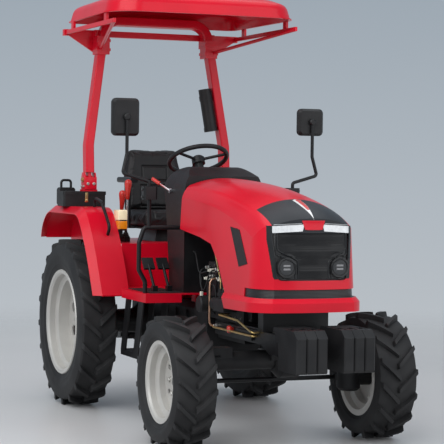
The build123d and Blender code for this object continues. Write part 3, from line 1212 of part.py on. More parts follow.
def grab_handles():
    """Curved grab bars down the front slope of the fenders."""
    top = FENDER_TOP_Z
    x0 = FENDER_FLAT_FRONT_X
    bar = bent_tube(
        [(x0 - 40, -HANDLE_Y, top - 30), (x0 - 34, -HANDLE_Y, top + 58), (x0 + 110, -HANDLE_Y, top + 34),
         (x0 + 276, -HANDLE_Y, top - 116), (x0 + 196, -HANDLE_Y, top - 210)],
        HANDLE_RADIUS, 34,
    )
    under = Pos(0, -FENDER_INNER_Y, 0) * extrude(
        fender_area(-SEAT_GAP, FENDER_FRONT_Z - 100), amount=FENDER_OUTER_Y - FENDER_INNER_Y, dir=(0, -1, 0)
    )
    return both_sides(bar - under)


def rops_legs():
    """Fixed legs from the axle trumpets up to the black boxes that the hinged frame stands on."""
    post = block(LEG_REAR_X, LEG_FRONT_X, -LEG_OUTER_Y, -LEG_INNER_Y, LEG_LOW_Z, FENDER_TOP_Z + 10)
    web = side_plate(
        [(LEG_REAR_X, LEG_LOW_Z), (LEG_FRONT_X, LEG_LOW_Z + 340), (70, LEG_SEAT_Z + 78), (70, LEG_SEAT_Z),
         (-70, LEG_SEAT_Z)],
        -LEG_OUTER_Y, -LEG_INNER_Y,
    )
    box = block(ROPS_X - FOOT_BOX_DEPTH / 2, ROPS_X + FOOT_BOX_DEPTH / 2, -FOOT_BOX_OUTER_Y, -FOOT_BOX_INNER_Y,
                FENDER_TOP_Z, FENDER_TOP_Z + FOOT_BOX_HEIGHT)
    box = fillet(box.edges().filter_by(Axis.Z), 14)
    lid = block(ROPS_X - FOOT_BOX_DEPTH / 2 - 4, ROPS_X + FOOT_BOX_DEPTH / 2 + 4, -FOOT_BOX_OUTER_Y - 4,
                -FOOT_BOX_INNER_Y + 4, FENDER_TOP_Z + FOOT_BOX_HEIGHT - 22, FENDER_TOP_Z + FOOT_BOX_HEIGHT)
    lid = fillet(lid.edges().filter_by(Axis.Z), 16)
    return both_sides(joined([post, web, box, lid]))


def rops_brackets():
    """Hinge brackets of the roll-over frame, each with two ears and a pin."""
    floor = FENDER_TOP_Z + FOOT_BOX_HEIGHT
    half = ROPS_TONGUE_THICKNESS / 2 + RUNNING_GAP
    y = -ROPS_FOOT_Y
    base = block(ROPS_X - 45, ROPS_X + 45, y - 45, y + 45, floor, floor + 12)
    outline = [(ROPS_X - 30, floor), (ROPS_X + 30, floor), (ROPS_X + ROPS_EAR_RADIUS, ROPS_PIVOT_Z),
               (ROPS_X - ROPS_EAR_RADIUS, ROPS_PIVOT_Z)]
    parts = [base]
    for sign in (RIGHT, LEFT):
        start, end = y + sign * half, y + sign * (half + ROPS_EAR_THICKNESS)
        parts += [side_plate(outline, start, end), pillar("y", (ROPS_X, ROPS_PIVOT_Z), start, end, ROPS_EAR_RADIUS)]
    reach = half + ROPS_EAR_THICKNESS + 12
    parts.append(pillar("y", (ROPS_X, ROPS_PIVOT_Z), y - reach, y + reach, ROPS_PIN_RADIUS))
    return both_sides(joined(parts))


def leaned(shape):
    """The shape turned back about the hinge line by the frame's lean."""
    return shape.rotate(Axis((ROPS_X, 0, ROPS_PIVOT_Z), (0, -1, 0)), ROPS_LEAN)


def rops_hoop():
    """Folding hoop of rectangular tube with a tongue at each foot."""
    low = ROPS_PIVOT_Z + 46
    points = [(-ROPS_FOOT_Y, low), (-ROPS_FOOT_Y, ROPS_KINK_Z), (-ROPS_TOP_Y, ROPS_TOP_Z),
              (ROPS_TOP_Y, ROPS_TOP_Z), (ROPS_FOOT_Y, ROPS_KINK_Z), (ROPS_FOOT_Y, low)]
    path = FilletPolyline(*[(ROPS_X, y, z) for y, z in points], radius=ROPS_CORNER_RADIUS)
    start = Plane(origin=path @ 0, x_dir=(1, 0, 0), z_dir=path % 0)
    section = RectangleRounded(ROPS_TUBE_DEPTH, ROPS_TUBE_WIDTH, ROPS_TUBE_ROUNDING)
    hoop = sweep(start * section, path=path)
    half = ROPS_TONGUE_THICKNESS / 2
    tongues = []
    for y in (-ROPS_FOOT_Y, ROPS_FOOT_Y):
        tongues += [
            pillar("y", (ROPS_X, ROPS_PIVOT_Z), y - half, y + half, ROPS_EAR_RADIUS - 2),
            block(ROPS_X - 24, ROPS_X + 24, y - half, y + half, ROPS_PIVOT_Z, low + 6),
        ]
    bore = pillar("y", (ROPS_X, ROPS_PIVOT_Z), -600, 600, ROPS_PIN_RADIUS + RUNNING_GAP)
    return leaned(joined([hoop, *tongues]) - bore)


def post_y(z):
    """Middle of the hoop's right post at a height, before it leans."""
    share = (z - ROPS_KINK_Z) / (ROPS_TOP_Z - ROPS_KINK_Z)
    return -ROPS_FOOT_Y + share * (ROPS_FOOT_Y - ROPS_TOP_Y)


def canopy_frame(hoop):
    """Clamps on the hoop, rear cross tube, gussets, side rails, struts and brackets under the roof."""
    rail_y = ROOF_HALF_WIDTH - 18
    low = SIDE_RAIL_Z - CROSS_TUBE / 2
    tube_x = ROOF_REAR_X - 8
    tube = block(tube_x - CROSS_TUBE / 2, tube_x + CROSS_TUBE / 2, -rail_y - 16, rail_y + 16, low, low + CROSS_TUBE)
    clamp_x = ROPS_X - (CLAMP_Z - ROPS_PIVOT_Z) * sin(radians(ROPS_LEAN))
    y = post_y(CLAMP_Z)
    reach = ROPS_TUBE_WIDTH / 2 + 14
    depth = ROPS_TUBE_DEPTH / 2 + 12
    collar = block(clamp_x - depth, clamp_x + depth, y - reach, y + reach, CLAMP_Z - 58, CLAMP_Z + 60)
    bands = [
        block(clamp_x - depth - 5, clamp_x + depth + 5, y - reach - 5, y + reach + 5, z, z + 18)
        for z in (CLAMP_Z - 36, CLAMP_Z + 22)
    ]
    gusset = front_on_plate(
        [(y - reach + 4, CLAMP_Z - 40), (-rail_y, low + 8), (-rail_y, low + CROSS_TUBE), (y - reach + 4, low + CROSS_TUBE)],
        tube_x + CROSS_TUBE / 2 - 6, tube_x + CROSS_TUBE / 2 + 8,
    )
    arm = block(tube_x, clamp_x, y - reach, y + reach, CLAMP_Z + 10, low + CROSS_TUBE)
    rail = block(tube_x, ROOF_FRONT_X - 46, -rail_y - 8, -rail_y + 8, SIDE_RAIL_Z - 13, SIDE_RAIL_Z + 13)
    ends = [
        block(x, x + 46, -rail_y - 8, -rail_y + 8, SIDE_RAIL_Z - 13, ROOF_LOW_Z - SEAT_GAP)
        for x in (ROOF_REAR_X + 140, ROOF_FRONT_X - 232)
    ]
    strut = rod((clamp_x + depth - 6, y - 18, CLAMP_Z - 20), (ROOF_FRONT_X - 60, -rail_y, SIDE_RAIL_Z - 4), 11)
    right = joined([collar, *bands, gusset, arm, rail, *ends, strut])
    return joined([tube, right, other_side(right)]) - hoop


def roof_plan(share, z):
    """Plan outline of the roof at a height, scaled: bowed front, round front corners, narrower tail."""
    middle = (ROOF_FRONT_X + ROOF_REAR_X) / 2
    front, rear = ROOF_FRONT_X - middle, ROOF_REAR_X - middle
    half, tail = ROOF_HALF_WIDTH, ROOF_HALF_WIDTH - ROOF_TAIL_TAPER
    face = make_face(Polyline(
        (rear, -tail), (front - ROOF_BOW, -half), (front, 0), (front - ROOF_BOW, half), (rear, tail), close=True,
    ))
    face = fillet(face.vertices().sort_by(Axis.X)[-1], ROOF_BOW_RADIUS)
    corners = [v for v in face.vertices() if abs(abs(v.Y) - half) < 1]
    face = fillet(corners, ROOF_FRONT_CORNER)
    face = fillet(face.vertices().group_by(Axis.X)[0], ROOF_REAR_CORNER)
    return Pos(middle, 0, z) * scale(face, by=share)


def roof_body(inset):
    """Solid under the roof's outer surface, drawn in by an inset: flared skirt and shallow crown."""
    shrink = 1 - inset / ROOF_HALF_WIDTH
    low = ROOF_LOW_Z - inset
    bend, top = low + ROOF_SKIRT, low + ROOF_HEIGHT
    shoulder = roof_plan(ROOF_BEND_SHARE * shrink, bend)
    skirt = loft([roof_plan(shrink, low), shoulder], ruled=True)
    crown = loft([shoulder, roof_plan(ROOF_TOP_SHARE * shrink, top)], ruled=True)
    body = joined([skirt, crown])
    body = fillet(body.edges().filter_by_position(Axis.Z, bend - 1, bend + 1), ROOF_BEND_RADIUS)
    return fillet(body.edges().filter_by_position(Axis.Z, top - 1, top + 1), ROOF_TOP_RADIUS)


def roof():
    """Moulded sun roof, open underneath, with a lip round its edge and stiffening ribs across its hollow."""
    inner = roof_body(ROOF_SHEET)
    lip = extrude(roof_plan(ROOF_LIP_SHARE, ROOF_LOW_Z), amount=ROOF_SHEET)
    ribs = [
        block(x, x + 10, -ROOF_HALF_WIDTH, ROOF_HALF_WIDTH, ROOF_LOW_Z + 80, ROOF_LOW_Z + 200) & inner
        for x in (ROOF_REAR_X + 330, ROOF_FRONT_X - 330)
    ]
    return joined([joined([roof_body(0), lip]) - inner, *ribs])


def document_tube():
    """Tube for papers with a screw cap, on the inner side of the left post."""
    run = Vector(0, ROPS_TOP_Y - ROPS_FOOT_Y, ROPS_TOP_Z - ROPS_KINK_Z).normalized()
    inward = Vector(0, -run.Z, run.Y)
    start = Vector(ROPS_X, ROPS_FOOT_Y, ROPS_KINK_Z) + run * 120 + inward * (ROPS_TUBE_WIDTH / 2 + SEAT_GAP + 44)
    body = rod(tuple(start), tuple(start + run * 280), 41)
    cap = rod(tuple(start + run * 205), tuple(start + run * 236), 44)
    foot = rod(tuple(start - run * 2), tuple(start + run * 24), 44)
    return leaned(joined([body, cap, foot]))


def link_end(distance):
    """Point on the lower link, measured from its pivot."""
    droop = radians(LINK_DROOP)
    return (LOWER_PIVOT_X - distance * cos(droop), LOWER_PIVOT_Z - distance * sin(droop))


def bar_between(start, end, half_height, y0, y1):
    """Flat bar between two (x, z) points."""
    along = atan2(end[1] - start[1], end[0] - start[0])
    dx, dz = -half_height * sin(along), half_height * cos(along)
    return side_plate(
        [(start[0] + dx, start[1] + dz), (end[0] + dx, end[1] + dz), (end[0] - dx, end[1] - dz),
         (start[0] - dx, start[1] - dz)], y0, y1,
    )


def hitch():
    """Lower links, lift arms and lift rods of the three-point hitch, as parallelograms."""
    y0, y1 = -LOWER_PIVOT_Y - LINK_THICKNESS / 2, -LOWER_PIVOT_Y + LINK_THICKNESS / 2
    rod_y0, rod_y1 = y0 - 6 - 18, y0 - 6
    pivot, tip = link_end(0), link_end(LOWER_LINK_REACH)
    grip = link_end(LIFT_CRANK)
    shaft = (LIFT_SHAFT_X, LIFT_SHAFT_Z)
    crank = (LIFT_SHAFT_X + grip[0] - pivot[0], LIFT_SHAFT_Z + grip[1] - pivot[1])
    eye = LIFT_PIN_RADIUS + RUNNING_GAP
    far = -LOWER_PIVOT_Y - 170
    link = joined([
        bar_between(pivot, tip, 22, y0, y1), pillar("y", pivot, y0, y1, LINK_BALL_RADIUS),
        pillar("y", tip, y0 - 5, y1 + 5, LINK_BALL_RADIUS), pillar("y", grip, rod_y0 - 6, y1, LIFT_PIN_RADIUS),
    ]) - joined([
        pillar("y", pivot, far, 0, LOWER_PIN_RADIUS + RUNNING_GAP), pillar("y", tip, far, 0, LINK_PIN_BORE_RADIUS),
    ])
    arm = joined([
        bar_between(shaft, crank, 24, y0, y1), pillar("y", shaft, y0, y1, LIFT_SHAFT_RADIUS + 18),
        pillar("y", crank, y0, y1, 24), pillar("y", crank, rod_y0 - 6, y1, LIFT_PIN_RADIUS),
    ]) - pillar("y", shaft, far, 0, LIFT_SHAFT_RADIUS + RUNNING_GAP)
    sleeve_low, sleeve_high = [
        tuple(c + share * (g - c) for c, g in zip(crank, grip)) for share in (0.62, 0.3)
    ]
    lift = joined([
        bar_between(crank, grip, 11, rod_y0, rod_y1), pillar("y", crank, rod_y0, rod_y1, 20),
        pillar("y", grip, rod_y0, rod_y1, 20), bar_between(sleeve_high, sleeve_low, 17, rod_y0, rod_y1),
    ]) - joined([pillar("y", crank, far, 0, eye), pillar("y", grip, far, 0, eye)])
    return {"lower_links": both_sides(link), "lift_arms": both_sides(arm), "lift_rods": both_sides(lift)}


def drawbar():
    """Drawbar under the rear axle, bored for its pin."""
    top = GEARBOX_LOW_Z - 34
    bar = block(DRAWBAR_REAR_X, -60, -35, 35, top - 26, top)
    bar = fillet(bar.edges().filter_by(Axis.Z).group_by(Axis.X)[0], 30)
    hanger = block(-200, -60, -50, 50, top, GEARBOX_LOW_Z - 20)
    return joined([bar, hanger]) - pillar("z", (DRAWBAR_REAR_X + 40, 0), top - 60, top + 40, DRAWBAR_BORE_RADIUS)


def pipes():
    """Plated steel pipes along the right side of the engine and the injector lines up to the head."""
    axle = FRONT_AXLE_X
    rail = -ENGINE_HALF_WIDTH - 2 - RAIL_PLATE - SEAT_GAP
    wall = -ENGINE_HALF_WIDTH - SEAT_GAP
    pump_x = ENGINE_FRONT_X - 290
    pump_top = ENGINE_BED_Z + 182 + SEAT_GAP
    head = -110 - SEAT_GAP
    made = [
        bent_tube([(axle - 420, rail, RAIL_BED_Z - 30), (axle - 420, rail - 27, RAIL_BED_Z - 30),
                   (axle + 150, rail - 27, RAIL_BED_Z - 30), (axle + 150, rail, RAIL_BED_Z - 30)], 6, 15),
        bent_tube([(axle - 300, wall, ENGINE_BED_Z + 40), (axle - 300, wall - 60, ENGINE_BED_Z + 40),
                   (axle - 20, wall - 60, ENGINE_BED_Z + 30), (axle + 180, wall - 60, RAIL_BED_Z - 8),
                   (axle + 180, rail, RAIL_BED_Z - 8)], 6, 15),
    ]
    for k, x in enumerate(cylinder_xs()):
        outlet = pump_x + 50 * k
        made.append(bent_tube(
            [(outlet, wall - 45, pump_top), (outlet, wall - 45, pump_top + 40), (x + 40, wall - 30, ENGINE_DECK_Z + 56),
             (x + 40, head, ENGINE_DECK_Z + 56)], 4, 12,
        ))
    return Compound(made)


if __name__ == "__main__":
    os.makedirs("parts", exist_ok=True)
    hoop = rops_hoop()
    right_fender = fender()
    pieces = {
        **wheels(),
        "rear_axle_housing": rear_axle(),
        "gearbox_housing": gearbox(),
        "engine_block": engine(),
        "engine_fittings": engine_fittings(),
        "front_frame": front_frame(),
        "radiator": radiator(),
        "front_weights": front_weights(),
        "front_axle": front_axle(),
        "knuckle_right": knuckle(RIGHT),
        "knuckle_left": knuckle(LEFT),
        "tie_rod": tie_rod(),
        **bonnet(),
        "platform": platform(),
        "floor_mats": floor_mats(),
        "boarding_steps": boarding_steps(),
        "handrails": handrails(),
        "mirror_heads": mirror_heads(),
        "dash_console": dash_console(),
        "firewall": firewall(),
        "steering_wheel": steering_wheel(),
        "fender_right": right_fender,
        "fender_left": other_side(right_fender),
        **seat(),
        "hand_levers": levers(),
        "pedals": pedals(),
        "marker_lamps": marker_lamps(),
        "work_lamp": work_lamp(),
        "grab_handles": grab_handles(),
        "rops_legs": rops_legs(),
        "rops_brackets": rops_brackets(),
        "rops_hoop": hoop,
        "canopy_frame": canopy_frame(hoop),
        "canopy_roof": roof(),
        "document_tube": document_tube(),
        **hitch(),
        "drawbar": drawbar(),
        "hydraulic_pipes": pipes(),
    }
    for name, shape in pieces.items():
        solids = [Pos(-ORIGIN_X, 0, 0) * solid for solid in shape.solids()]
        export_step(solids[0] if len(solids) == 1 else Compound(solids), f"parts/{name}.step")
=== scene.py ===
"""Dressed farm tractor: materials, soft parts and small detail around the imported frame."""

import json
from math import cos, exp, pi, radians, sin, tau

import bmesh
import bpy
from mathutils import Matrix, Vector
from mathutils.bvhtree import BVHTree

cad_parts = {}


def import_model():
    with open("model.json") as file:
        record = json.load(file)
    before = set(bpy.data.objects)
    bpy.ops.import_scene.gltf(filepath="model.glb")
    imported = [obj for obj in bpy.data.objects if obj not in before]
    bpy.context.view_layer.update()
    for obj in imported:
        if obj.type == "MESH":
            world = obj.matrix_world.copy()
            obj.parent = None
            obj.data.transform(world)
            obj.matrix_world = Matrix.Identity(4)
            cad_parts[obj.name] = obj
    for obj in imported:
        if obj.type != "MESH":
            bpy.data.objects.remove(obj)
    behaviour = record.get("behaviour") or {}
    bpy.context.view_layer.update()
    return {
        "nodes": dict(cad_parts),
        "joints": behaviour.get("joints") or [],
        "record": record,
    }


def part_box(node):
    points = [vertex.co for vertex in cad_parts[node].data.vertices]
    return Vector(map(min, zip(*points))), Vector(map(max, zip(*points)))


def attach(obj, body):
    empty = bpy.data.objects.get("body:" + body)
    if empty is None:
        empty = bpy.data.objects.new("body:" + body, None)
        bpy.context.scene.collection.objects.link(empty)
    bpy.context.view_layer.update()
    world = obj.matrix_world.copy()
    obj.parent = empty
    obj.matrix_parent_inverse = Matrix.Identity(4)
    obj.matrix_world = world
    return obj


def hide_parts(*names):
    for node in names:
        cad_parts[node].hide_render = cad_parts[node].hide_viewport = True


# Photograph's camera, in metres in the row frame and in degrees
CAMERA_PLACE = (9.298, -3.688, 1.469)
CAMERA_YAW = 21.907
CAMERA_PITCH = 1.676
CAMERA_ROLL = 0.766
CAMERA_LENS = 135.4
SENSOR = 36.0

FLOOR_SIZE = 60.0
FLOOR_LIGHT = (0.60, 0.605, 0.61)
FLOOR_DARK = (0.545, 0.55, 0.56)
FLOOR_ROUGH = (0.30, 0.42)
FLOOR_FADE = (3.0, 9.0)
# Backdrop's colour by the height of the line of sight
BACKDROP = ((0.0, (0.56, 0.58, 0.60, 1)), (0.46, (0.43, 0.475, 0.52, 1)), (1.0, (0.27, 0.33, 0.39, 1)))
BACKDROP_REACH = 0.2
AMBIENT = (0.48, 0.495, 0.515, 1)
# Soft boxes: place, target, size and power
LIGHTS = {
    "key": ((4.5, -6.0, 6.5), (0.2, 0, 0.8), (9.0, 8.0), 620),
    "fill": ((6.5, 4.0, 4.0), (0.5, 0, 0.9), (8.0, 7.0), 210),
    "top": ((-1.0, 0.0, 7.5), (0, 0, 1.0), (9.0, 7.0), 200),
}

# Surfaces: light and dark tone, patch scale, roughness, grain scale and strength, metal, coat, specular
LOOKS = {
    "red_paint": ((0.64, 0.003, 0.02), (0.56, 0.002, 0.016), 3.0, (0.28, 0.38), 240.0, 0.012, 0.0, 0.25, 0.2),
    "black_plastic": ((0.016, 0.016, 0.017), (0.010, 0.010, 0.011), 9.0, (0.40, 0.54), 420.0, 0.10),
    "black_steel": ((0.012, 0.012, 0.013), (0.007, 0.007, 0.008), 7.0, (0.28, 0.42), 160.0, 0.04),
    "cast_black": ((0.016, 0.016, 0.017), (0.008, 0.008, 0.009), 8.0, (0.45, 0.62), 130.0, 0.16),
    "tyre_rubber": ((0.026, 0.026, 0.027), (0.015, 0.015, 0.016), 6.0, (0.56, 0.74), 190.0, 0.12),
    "rim_silver": ((0.56, 0.55, 0.52), (0.48, 0.47, 0.45), 5.0, (0.32, 0.46), 300.0, 0.03, 0.25),
    "seat_vinyl": ((0.015, 0.015, 0.016), (0.010, 0.010, 0.011), 12.0, (0.42, 0.55), 620.0, 0.16),
    "mat_rubber": ((0.022, 0.022, 0.022), (0.014, 0.014, 0.014), 10.0, (0.6, 0.75), 300.0, 0.2),
    "wheel_grip": ((0.016, 0.016, 0.018), (0.011, 0.011, 0.012), 16.0, (0.38, 0.5), 480.0, 0.1),
    "plated_steel": ((0.70, 0.50, 0.20), (0.55, 0.40, 0.18), 14.0, (0.25, 0.4), 200.0, 0.03, 0.9),
    "lever_steel": ((0.60, 0.60, 0.62), (0.52, 0.52, 0.54), 12.0, (0.12, 0.22), 260.0, 0.02, 1.0),
    "nose_satin": ((0.022, 0.024, 0.028), (0.016, 0.018, 0.022), 6.0, (0.36, 0.46), 500.0, 0.06),
    "knob_red": ((0.62, 0.035, 0.025), (0.50, 0.025, 0.018), 20.0, (0.25, 0.38), 300.0, 0.03, 0.0, 0.5),
    "trim_white": ((0.80, 0.80, 0.80), (0.72, 0.72, 0.73), 20.0, (0.2, 0.3), 300.0, 0.02, 0.0, 0.6),
    "plug_cream": ((0.70, 0.68, 0.60), (0.60, 0.58, 0.50), 30.0, (0.4, 0.55), 400.0, 0.05),
    "bolt_zinc": ((0.62, 0.61, 0.58), (0.48, 0.47, 0.44), 30.0, (0.28, 0.42), 300.0, 0.04, 0.9),
    "fog_glass": ((0.020, 0.021, 0.023), (0.012, 0.012, 0.014), 20.0, (0.05, 0.1), 200.0, 0.02, 0.0, 1.0),
    # The nose lip's light grey is a painted highlight on the nose's lower edge
    "lip_highlight_grey": ((0.42, 0.43, 0.44), (0.34, 0.35, 0.36), 20.0, (0.25, 0.35), 300.0, 0.02, 0.3),
    "lip_black": ((0.020, 0.021, 0.023), (0.013, 0.014, 0.015), 12.0, (0.18, 0.28), 300.0, 0.03),
    "screen_black": ((0.016, 0.016, 0.017), (0.010, 0.010, 0.011), 12.0, (0.26, 0.38), 320.0, 0.05),
    "bolt_dark": ((0.10, 0.10, 0.10), (0.05, 0.05, 0.05), 30.0, (0.30, 0.45), 300.0, 0.05, 0.8),
    "copper": ((0.62, 0.36, 0.24), (0.50, 0.30, 0.20), 20.0, (0.25, 0.4), 300.0, 0.03, 0.8),
    "hose_rubber": ((0.020, 0.020, 0.021), (0.013, 0.013, 0.014), 30.0, (0.42, 0.56), 400.0, 0.08),
}
# Lenses: colour, glow and size of a prism
LENSES = {
    "lamp_lens": ((0.66, 0.68, 0.70), 0.16, 0.010),
    "amber_lens": ((0.85, 0.26, 0.01), 0.12, 0.006),
    "led_bar": ((0.22, 0.22, 0.23), 0.03, 0.004),
    "pale_lens": ((0.92, 0.78, 0.52), 0.25, 0.006),
    "tail_lens": ((0.60, 0.012, 0.010), 0.08, 0.006),
}
COAT_ROUGHNESS = 0.16
RELIEF = 0.002

# Meshes: sharpest smooth edge in degrees, and the distance within which points are one
CREASE = 35.0
BOLT_CREASE = 25.0
SCREEN_CREASE = 60.0
WELD = 1e-5

# Bolt's washer and head, as (radius, height) in shares of its size
BOLT_SINK = 0.002
WASHER = ((1.15, 0.16), (1.05, 0.24), (0.3, 0.24))
HEAD = ((0.9, 0.2), (0.9, 0.75), (0.774, 0.88))

# Tyres, as shares of a tyre's half width, radius or pitch, or in metres
TYRE_STEPS = 120
TREAD_SHARE = 0.88
LUG_REACH = 0.92
LUG_OVERLAP = 0.008
LUG_SLOPE = 0.9
LUG_ROOT_SHARE = 0.31
LUG_CROWN_SHARE = 0.19
LUG_SECTIONS = 7
LUG_END_DRAFT = 0.004
LUG_END_DROP = 0.0012
LUG_SINK = 0.012
LUG_ROUNDING = 0.0035
LUG_CREASE = 0.6
RIM_FLANGE = 0.025
BEAD_RISE = 0.004
BEAD_INSET = 0.012
BELLY_RISE = 0.008
# Lower sidewall: shares of the way out and up from the bead, and a ridge
LOWER_WALL = ((0.0, 0.0, 0.0), (0.25, 0.22, 0.0), (0.52, 0.46, 0.0), (0.60, 0.52, 0.002), (0.66, 0.58, 0.0))
# Belly: distance in from the full width, rise, and share of the rise to the tread
BELLY = ((0.004, -0.018, 0.0), (0.001, 0.0, 0.0), (0.0025, 0.0, 0.16))
SHOULDER = ((0.35, 0.52), (0.72, 0.86))
TREAD_EDGE = (0.006, 0.0015)
# Tread bars, wheel studs, the ring that they stand on and the seat of their nuts
WHEELS = {
    "rear": {"lugs": 20, "lug_height": 0.030, "studs": 8, "stud_ring": 0.103, "nut_seat": -0.033},
    "front": {"lugs": 16, "lug_height": 0.026, "studs": 6, "stud_ring": 0.080, "nut_seat": 0.002},
}
WHEEL_NUT_SIZE = 0.016

# Seat
SEAT_RECLINE = 10.0
SEAT_VOXEL = 0.005
SEAT_PRESSURE = 4.0
SEAT_FRAMES = 20
SEAT_SWELL = 0.009
SEAT_SHRINK = 0.007
CHANNEL_DEPTH = 0.007
CHANNEL_WIDTH = 0.0055
CHANNEL_FACING = 0.3
BACK_PANELS = ((0.085, 0.50, 0.72), (0.100, 0.10, 0.42))
CUSHION_SEAM = 0.150
CUSHION_CHANNELS = (0.25, 0.45, 0.65)

# Lamps: a light bar's depth, then its width and height as shares of the lamp's radius, and the ring's profile
LAMP_BAR = (0.004, 0.95, 0.24)
LAMP_BAR_SHIFTS = (0.22, -0.22)
LAMP_BAR_LIFT = 0.0005
LAMP_BAR_ROUNDING = 0.0012
LAMP_RING = ((0.98, -0.004), (1.08, -0.004), (1.10, 0.002), (1.05, 0.005), (0.96, 0.003), (0.93, -0.001))
MARKER_SPLIT = 0.56
MARKER_FOOT = 0.0262
MARKER_ROUNDING = 0.007
TAIL_ROUNDING = 0.006
LENS_PROUD = 0.0012
LENS_GAP = 0.0008

# Levers and mirrors, with turned profiles as (radius, height)
LEVER_UPRIGHT = 0.2
LEVER_GRIP = 0.046
LEVER_PLINTH = 0.0302
LEVER_STEM = 0.035
LEVER_KNOB = 0.022
STALK_GRIP = 0.55
GAITER_SINK = 0.002
GAITER = (
    (0.024, 0.0), (0.026, 0.006), (0.019, 0.010), (0.022, 0.016), (0.015, 0.020), (0.017, 0.026),
    (0.010, 0.032), (0.0085, 0.044),
)
GRIP = (
    (0.0085, -0.105), (0.012, -0.100), (0.0165, -0.050), (0.0222, -0.012), (0.0230, 0.0), (0.0205, 0.011),
    (0.013, 0.0195), (0.004, 0.0225),
)
MIRROR_MARGIN = 0.016
MIRROR_LIFT = 0.0005
MIRROR_DEPTH = 0.0025
MIRROR_CORNER = 0.022
CORNER_STEPS = 6

# Nose trim: spear, plaque and lip, whose light grey is a painted highlight, in metres and in degrees round a
# middle inside the nose
FAR_AHEAD = 3.0
NOSE_MIDDLE = (1990, 0, 1120)
SPEAR_ROWS = 28
SPEAR_COLUMNS = 4
SPEAR_TURNS = (88.0, 25.0)
SPEAR_HALF_WIDTH = 0.024
SPEAR_SHOULDER = 0.06
SPEAR_TAPER = (0.55, 0.72)
SPEAR_TIP = 0.0006
SPEAR_SINK = 0.001
# Name, material, shares of the length and of the half width, and lift
SPEAR_PARTS = (
    ("nose_spear", "trim_white", (0.0, 1.0), (-1.0, 1.0), 0.0016),
    ("nose_inlay", "knob_red", (0.04, 0.70), (-0.30, 0.90), 0.0026),
)
PLAQUE_ROWS = 8
PLAQUE_COLUMNS = (-1.0, -0.94, -0.9, -0.6, -0.3, 0.0, 0.3, 0.6, 0.9, 0.94, 1.0)
PLAQUE_Z = (1.180, 1.228)
PLAQUE_HALF = (0.049, 0.066)
PLAQUE_BRIDGE = 0.003
PLAQUE_BOW = 0.9
PLAQUE_RIM = 0.0035
PLAQUE_RIM_SHARE = 0.92
PLAQUE_FIELD = 0.002
PLAQUE_SINK = 0.006
LIP_Z = (1.2125, 1.2045)
LIP_Y = (0.066, 0.214)
LIP_STEPS = 14
LIP_BRIDGE = 0.002
LIP_RADIUS = 0.0022

# Grille screen: half width below and above the bend of its sides, in metres
SCREEN_Z = (0.926, 1.160)
SCREEN_BEND = (1.010, 1.082)
SCREEN_HALF = (0.088, 0.196)
SCREEN_ROWS = 78
SCREEN_COLUMNS = 24
SCREEN_RIBS = (0.0012, 0.0030)
SCREEN_SINK = 0.0015
SCREEN_DIP = 0.001
SCREEN_BRIDGE = 0.0086
SCREEN_WINDOW = (-0.010, -0.005, 0.0, 0.005, 0.010)
# Lips beside the screen as (inset, radius), and the one along its foot
SIDE_LIPS = ((0.0, 0.0042), (0.016, 0.0032))
SIDE_LIP_STEPS = 40
SIDE_LIP_REACH = 0.008
SIDE_LIP_LIFT = 0.001
FOOT_LIP_HALF = 0.19
FOOT_LIP_STEPS = 24
FOOT_LIP_DROP = 0.003
FOOT_LIP_RADIUS = 0.0036

# Surround beside the face, and vent plates with corners in millimetres, x from the rear axle
BEZEL_WIDTH = 0.021
BEZEL_Z = (0.924, 1.200)
BEZEL_ROWS = 46
BEZEL_COLUMNS = 6
BEZEL_SEARCH = (0.236, 0.160)
BEZEL_STEP = 0.001
BEZEL_BRIDGE = 0.001
BEZEL_DROP = 0.004
BEZEL_OVERHANG = 0.004
BEZEL_LIFTS = (0.0012, 0.0026, 0.0026, 0.0026, 0.0026, 0.0026, 0.0024, 0.0008)
BEZEL_LEAN = 0.5
BEZEL_SINK = 0.003
VENT_TRIM = ((1775, 1181), (1904, 1169), (2040, 994), (1926, 973))
VENT_START = 600
VENT_ROWS = 14
VENT_COLUMNS = 8
VENT_RIM = 0.0025
VENT_FIELD = 0.0012
VENT_SINK = 0.002

# Roll bar's feet, in metres from the pivot's line or above the floor
SHOE_GAP = 0.0305
SHOE_CHEEK = 0.008
SHOE_TOP = 1.462
SHOE_REAR = -0.042
SHOE_FRONT = 0.043
SHOE_NECK = 0.026
SHOE_FRONT_TOP = 1.432
SHOE_FOOT = 0.0125
SHOE_PLATE = 0.007
SHOE_ROUNDING = 0.002
PIN_BUTTON = ((0.017, -0.002), (0.017, 0.004), (0.012, 0.006), (0.009, 0.006), (0.009, 0.012), (0.006, 0.014))
# Bolts: distance from the middle, height over the foot, and size
CHEEK_BOLTS = (0.022, 0.018, 0.008)
PLATE_BOLTS = (0.020, 0.036, 0.009)

# Latch straps: where rays towards the box start, in millimetres, then sizes in metres
LATCH_START = (300, 508)
LATCH_LID = 1330
LATCH_BODY = 1290
LATCH_Z = (1.272, 1.333)
LATCH_HALF = (0.011, 0.009)
LATCH_DEPTH = 0.004
LATCH_ROUNDING = 0.0012
HOOK = ((0.0085, -0.001), (0.0085, 0.003), (0.004, 0.0055))
HOOK_Z = 1.284

# Cover bolts, in millimetres with x from the rear axle: node, places along x, heights and the rays' start
BOLT_ROWS = (
    ("engine_block", range(1190, 1760, 80), (668, 942), 700),
    ("gearbox_housing", range(260, 1140, 110), (560,), 900),
    ("handrails", (945,), (1325, 1368), 900),
)
AXLE_BOLTS = 10
AXLE_BOLT_RING = 128
AXLE_BOLT_Z = 660
AXLE_BOLT_START = -900
COVER_BOLT_SIZE = 0.0085
COVER_BOLT_FACING = 0.98

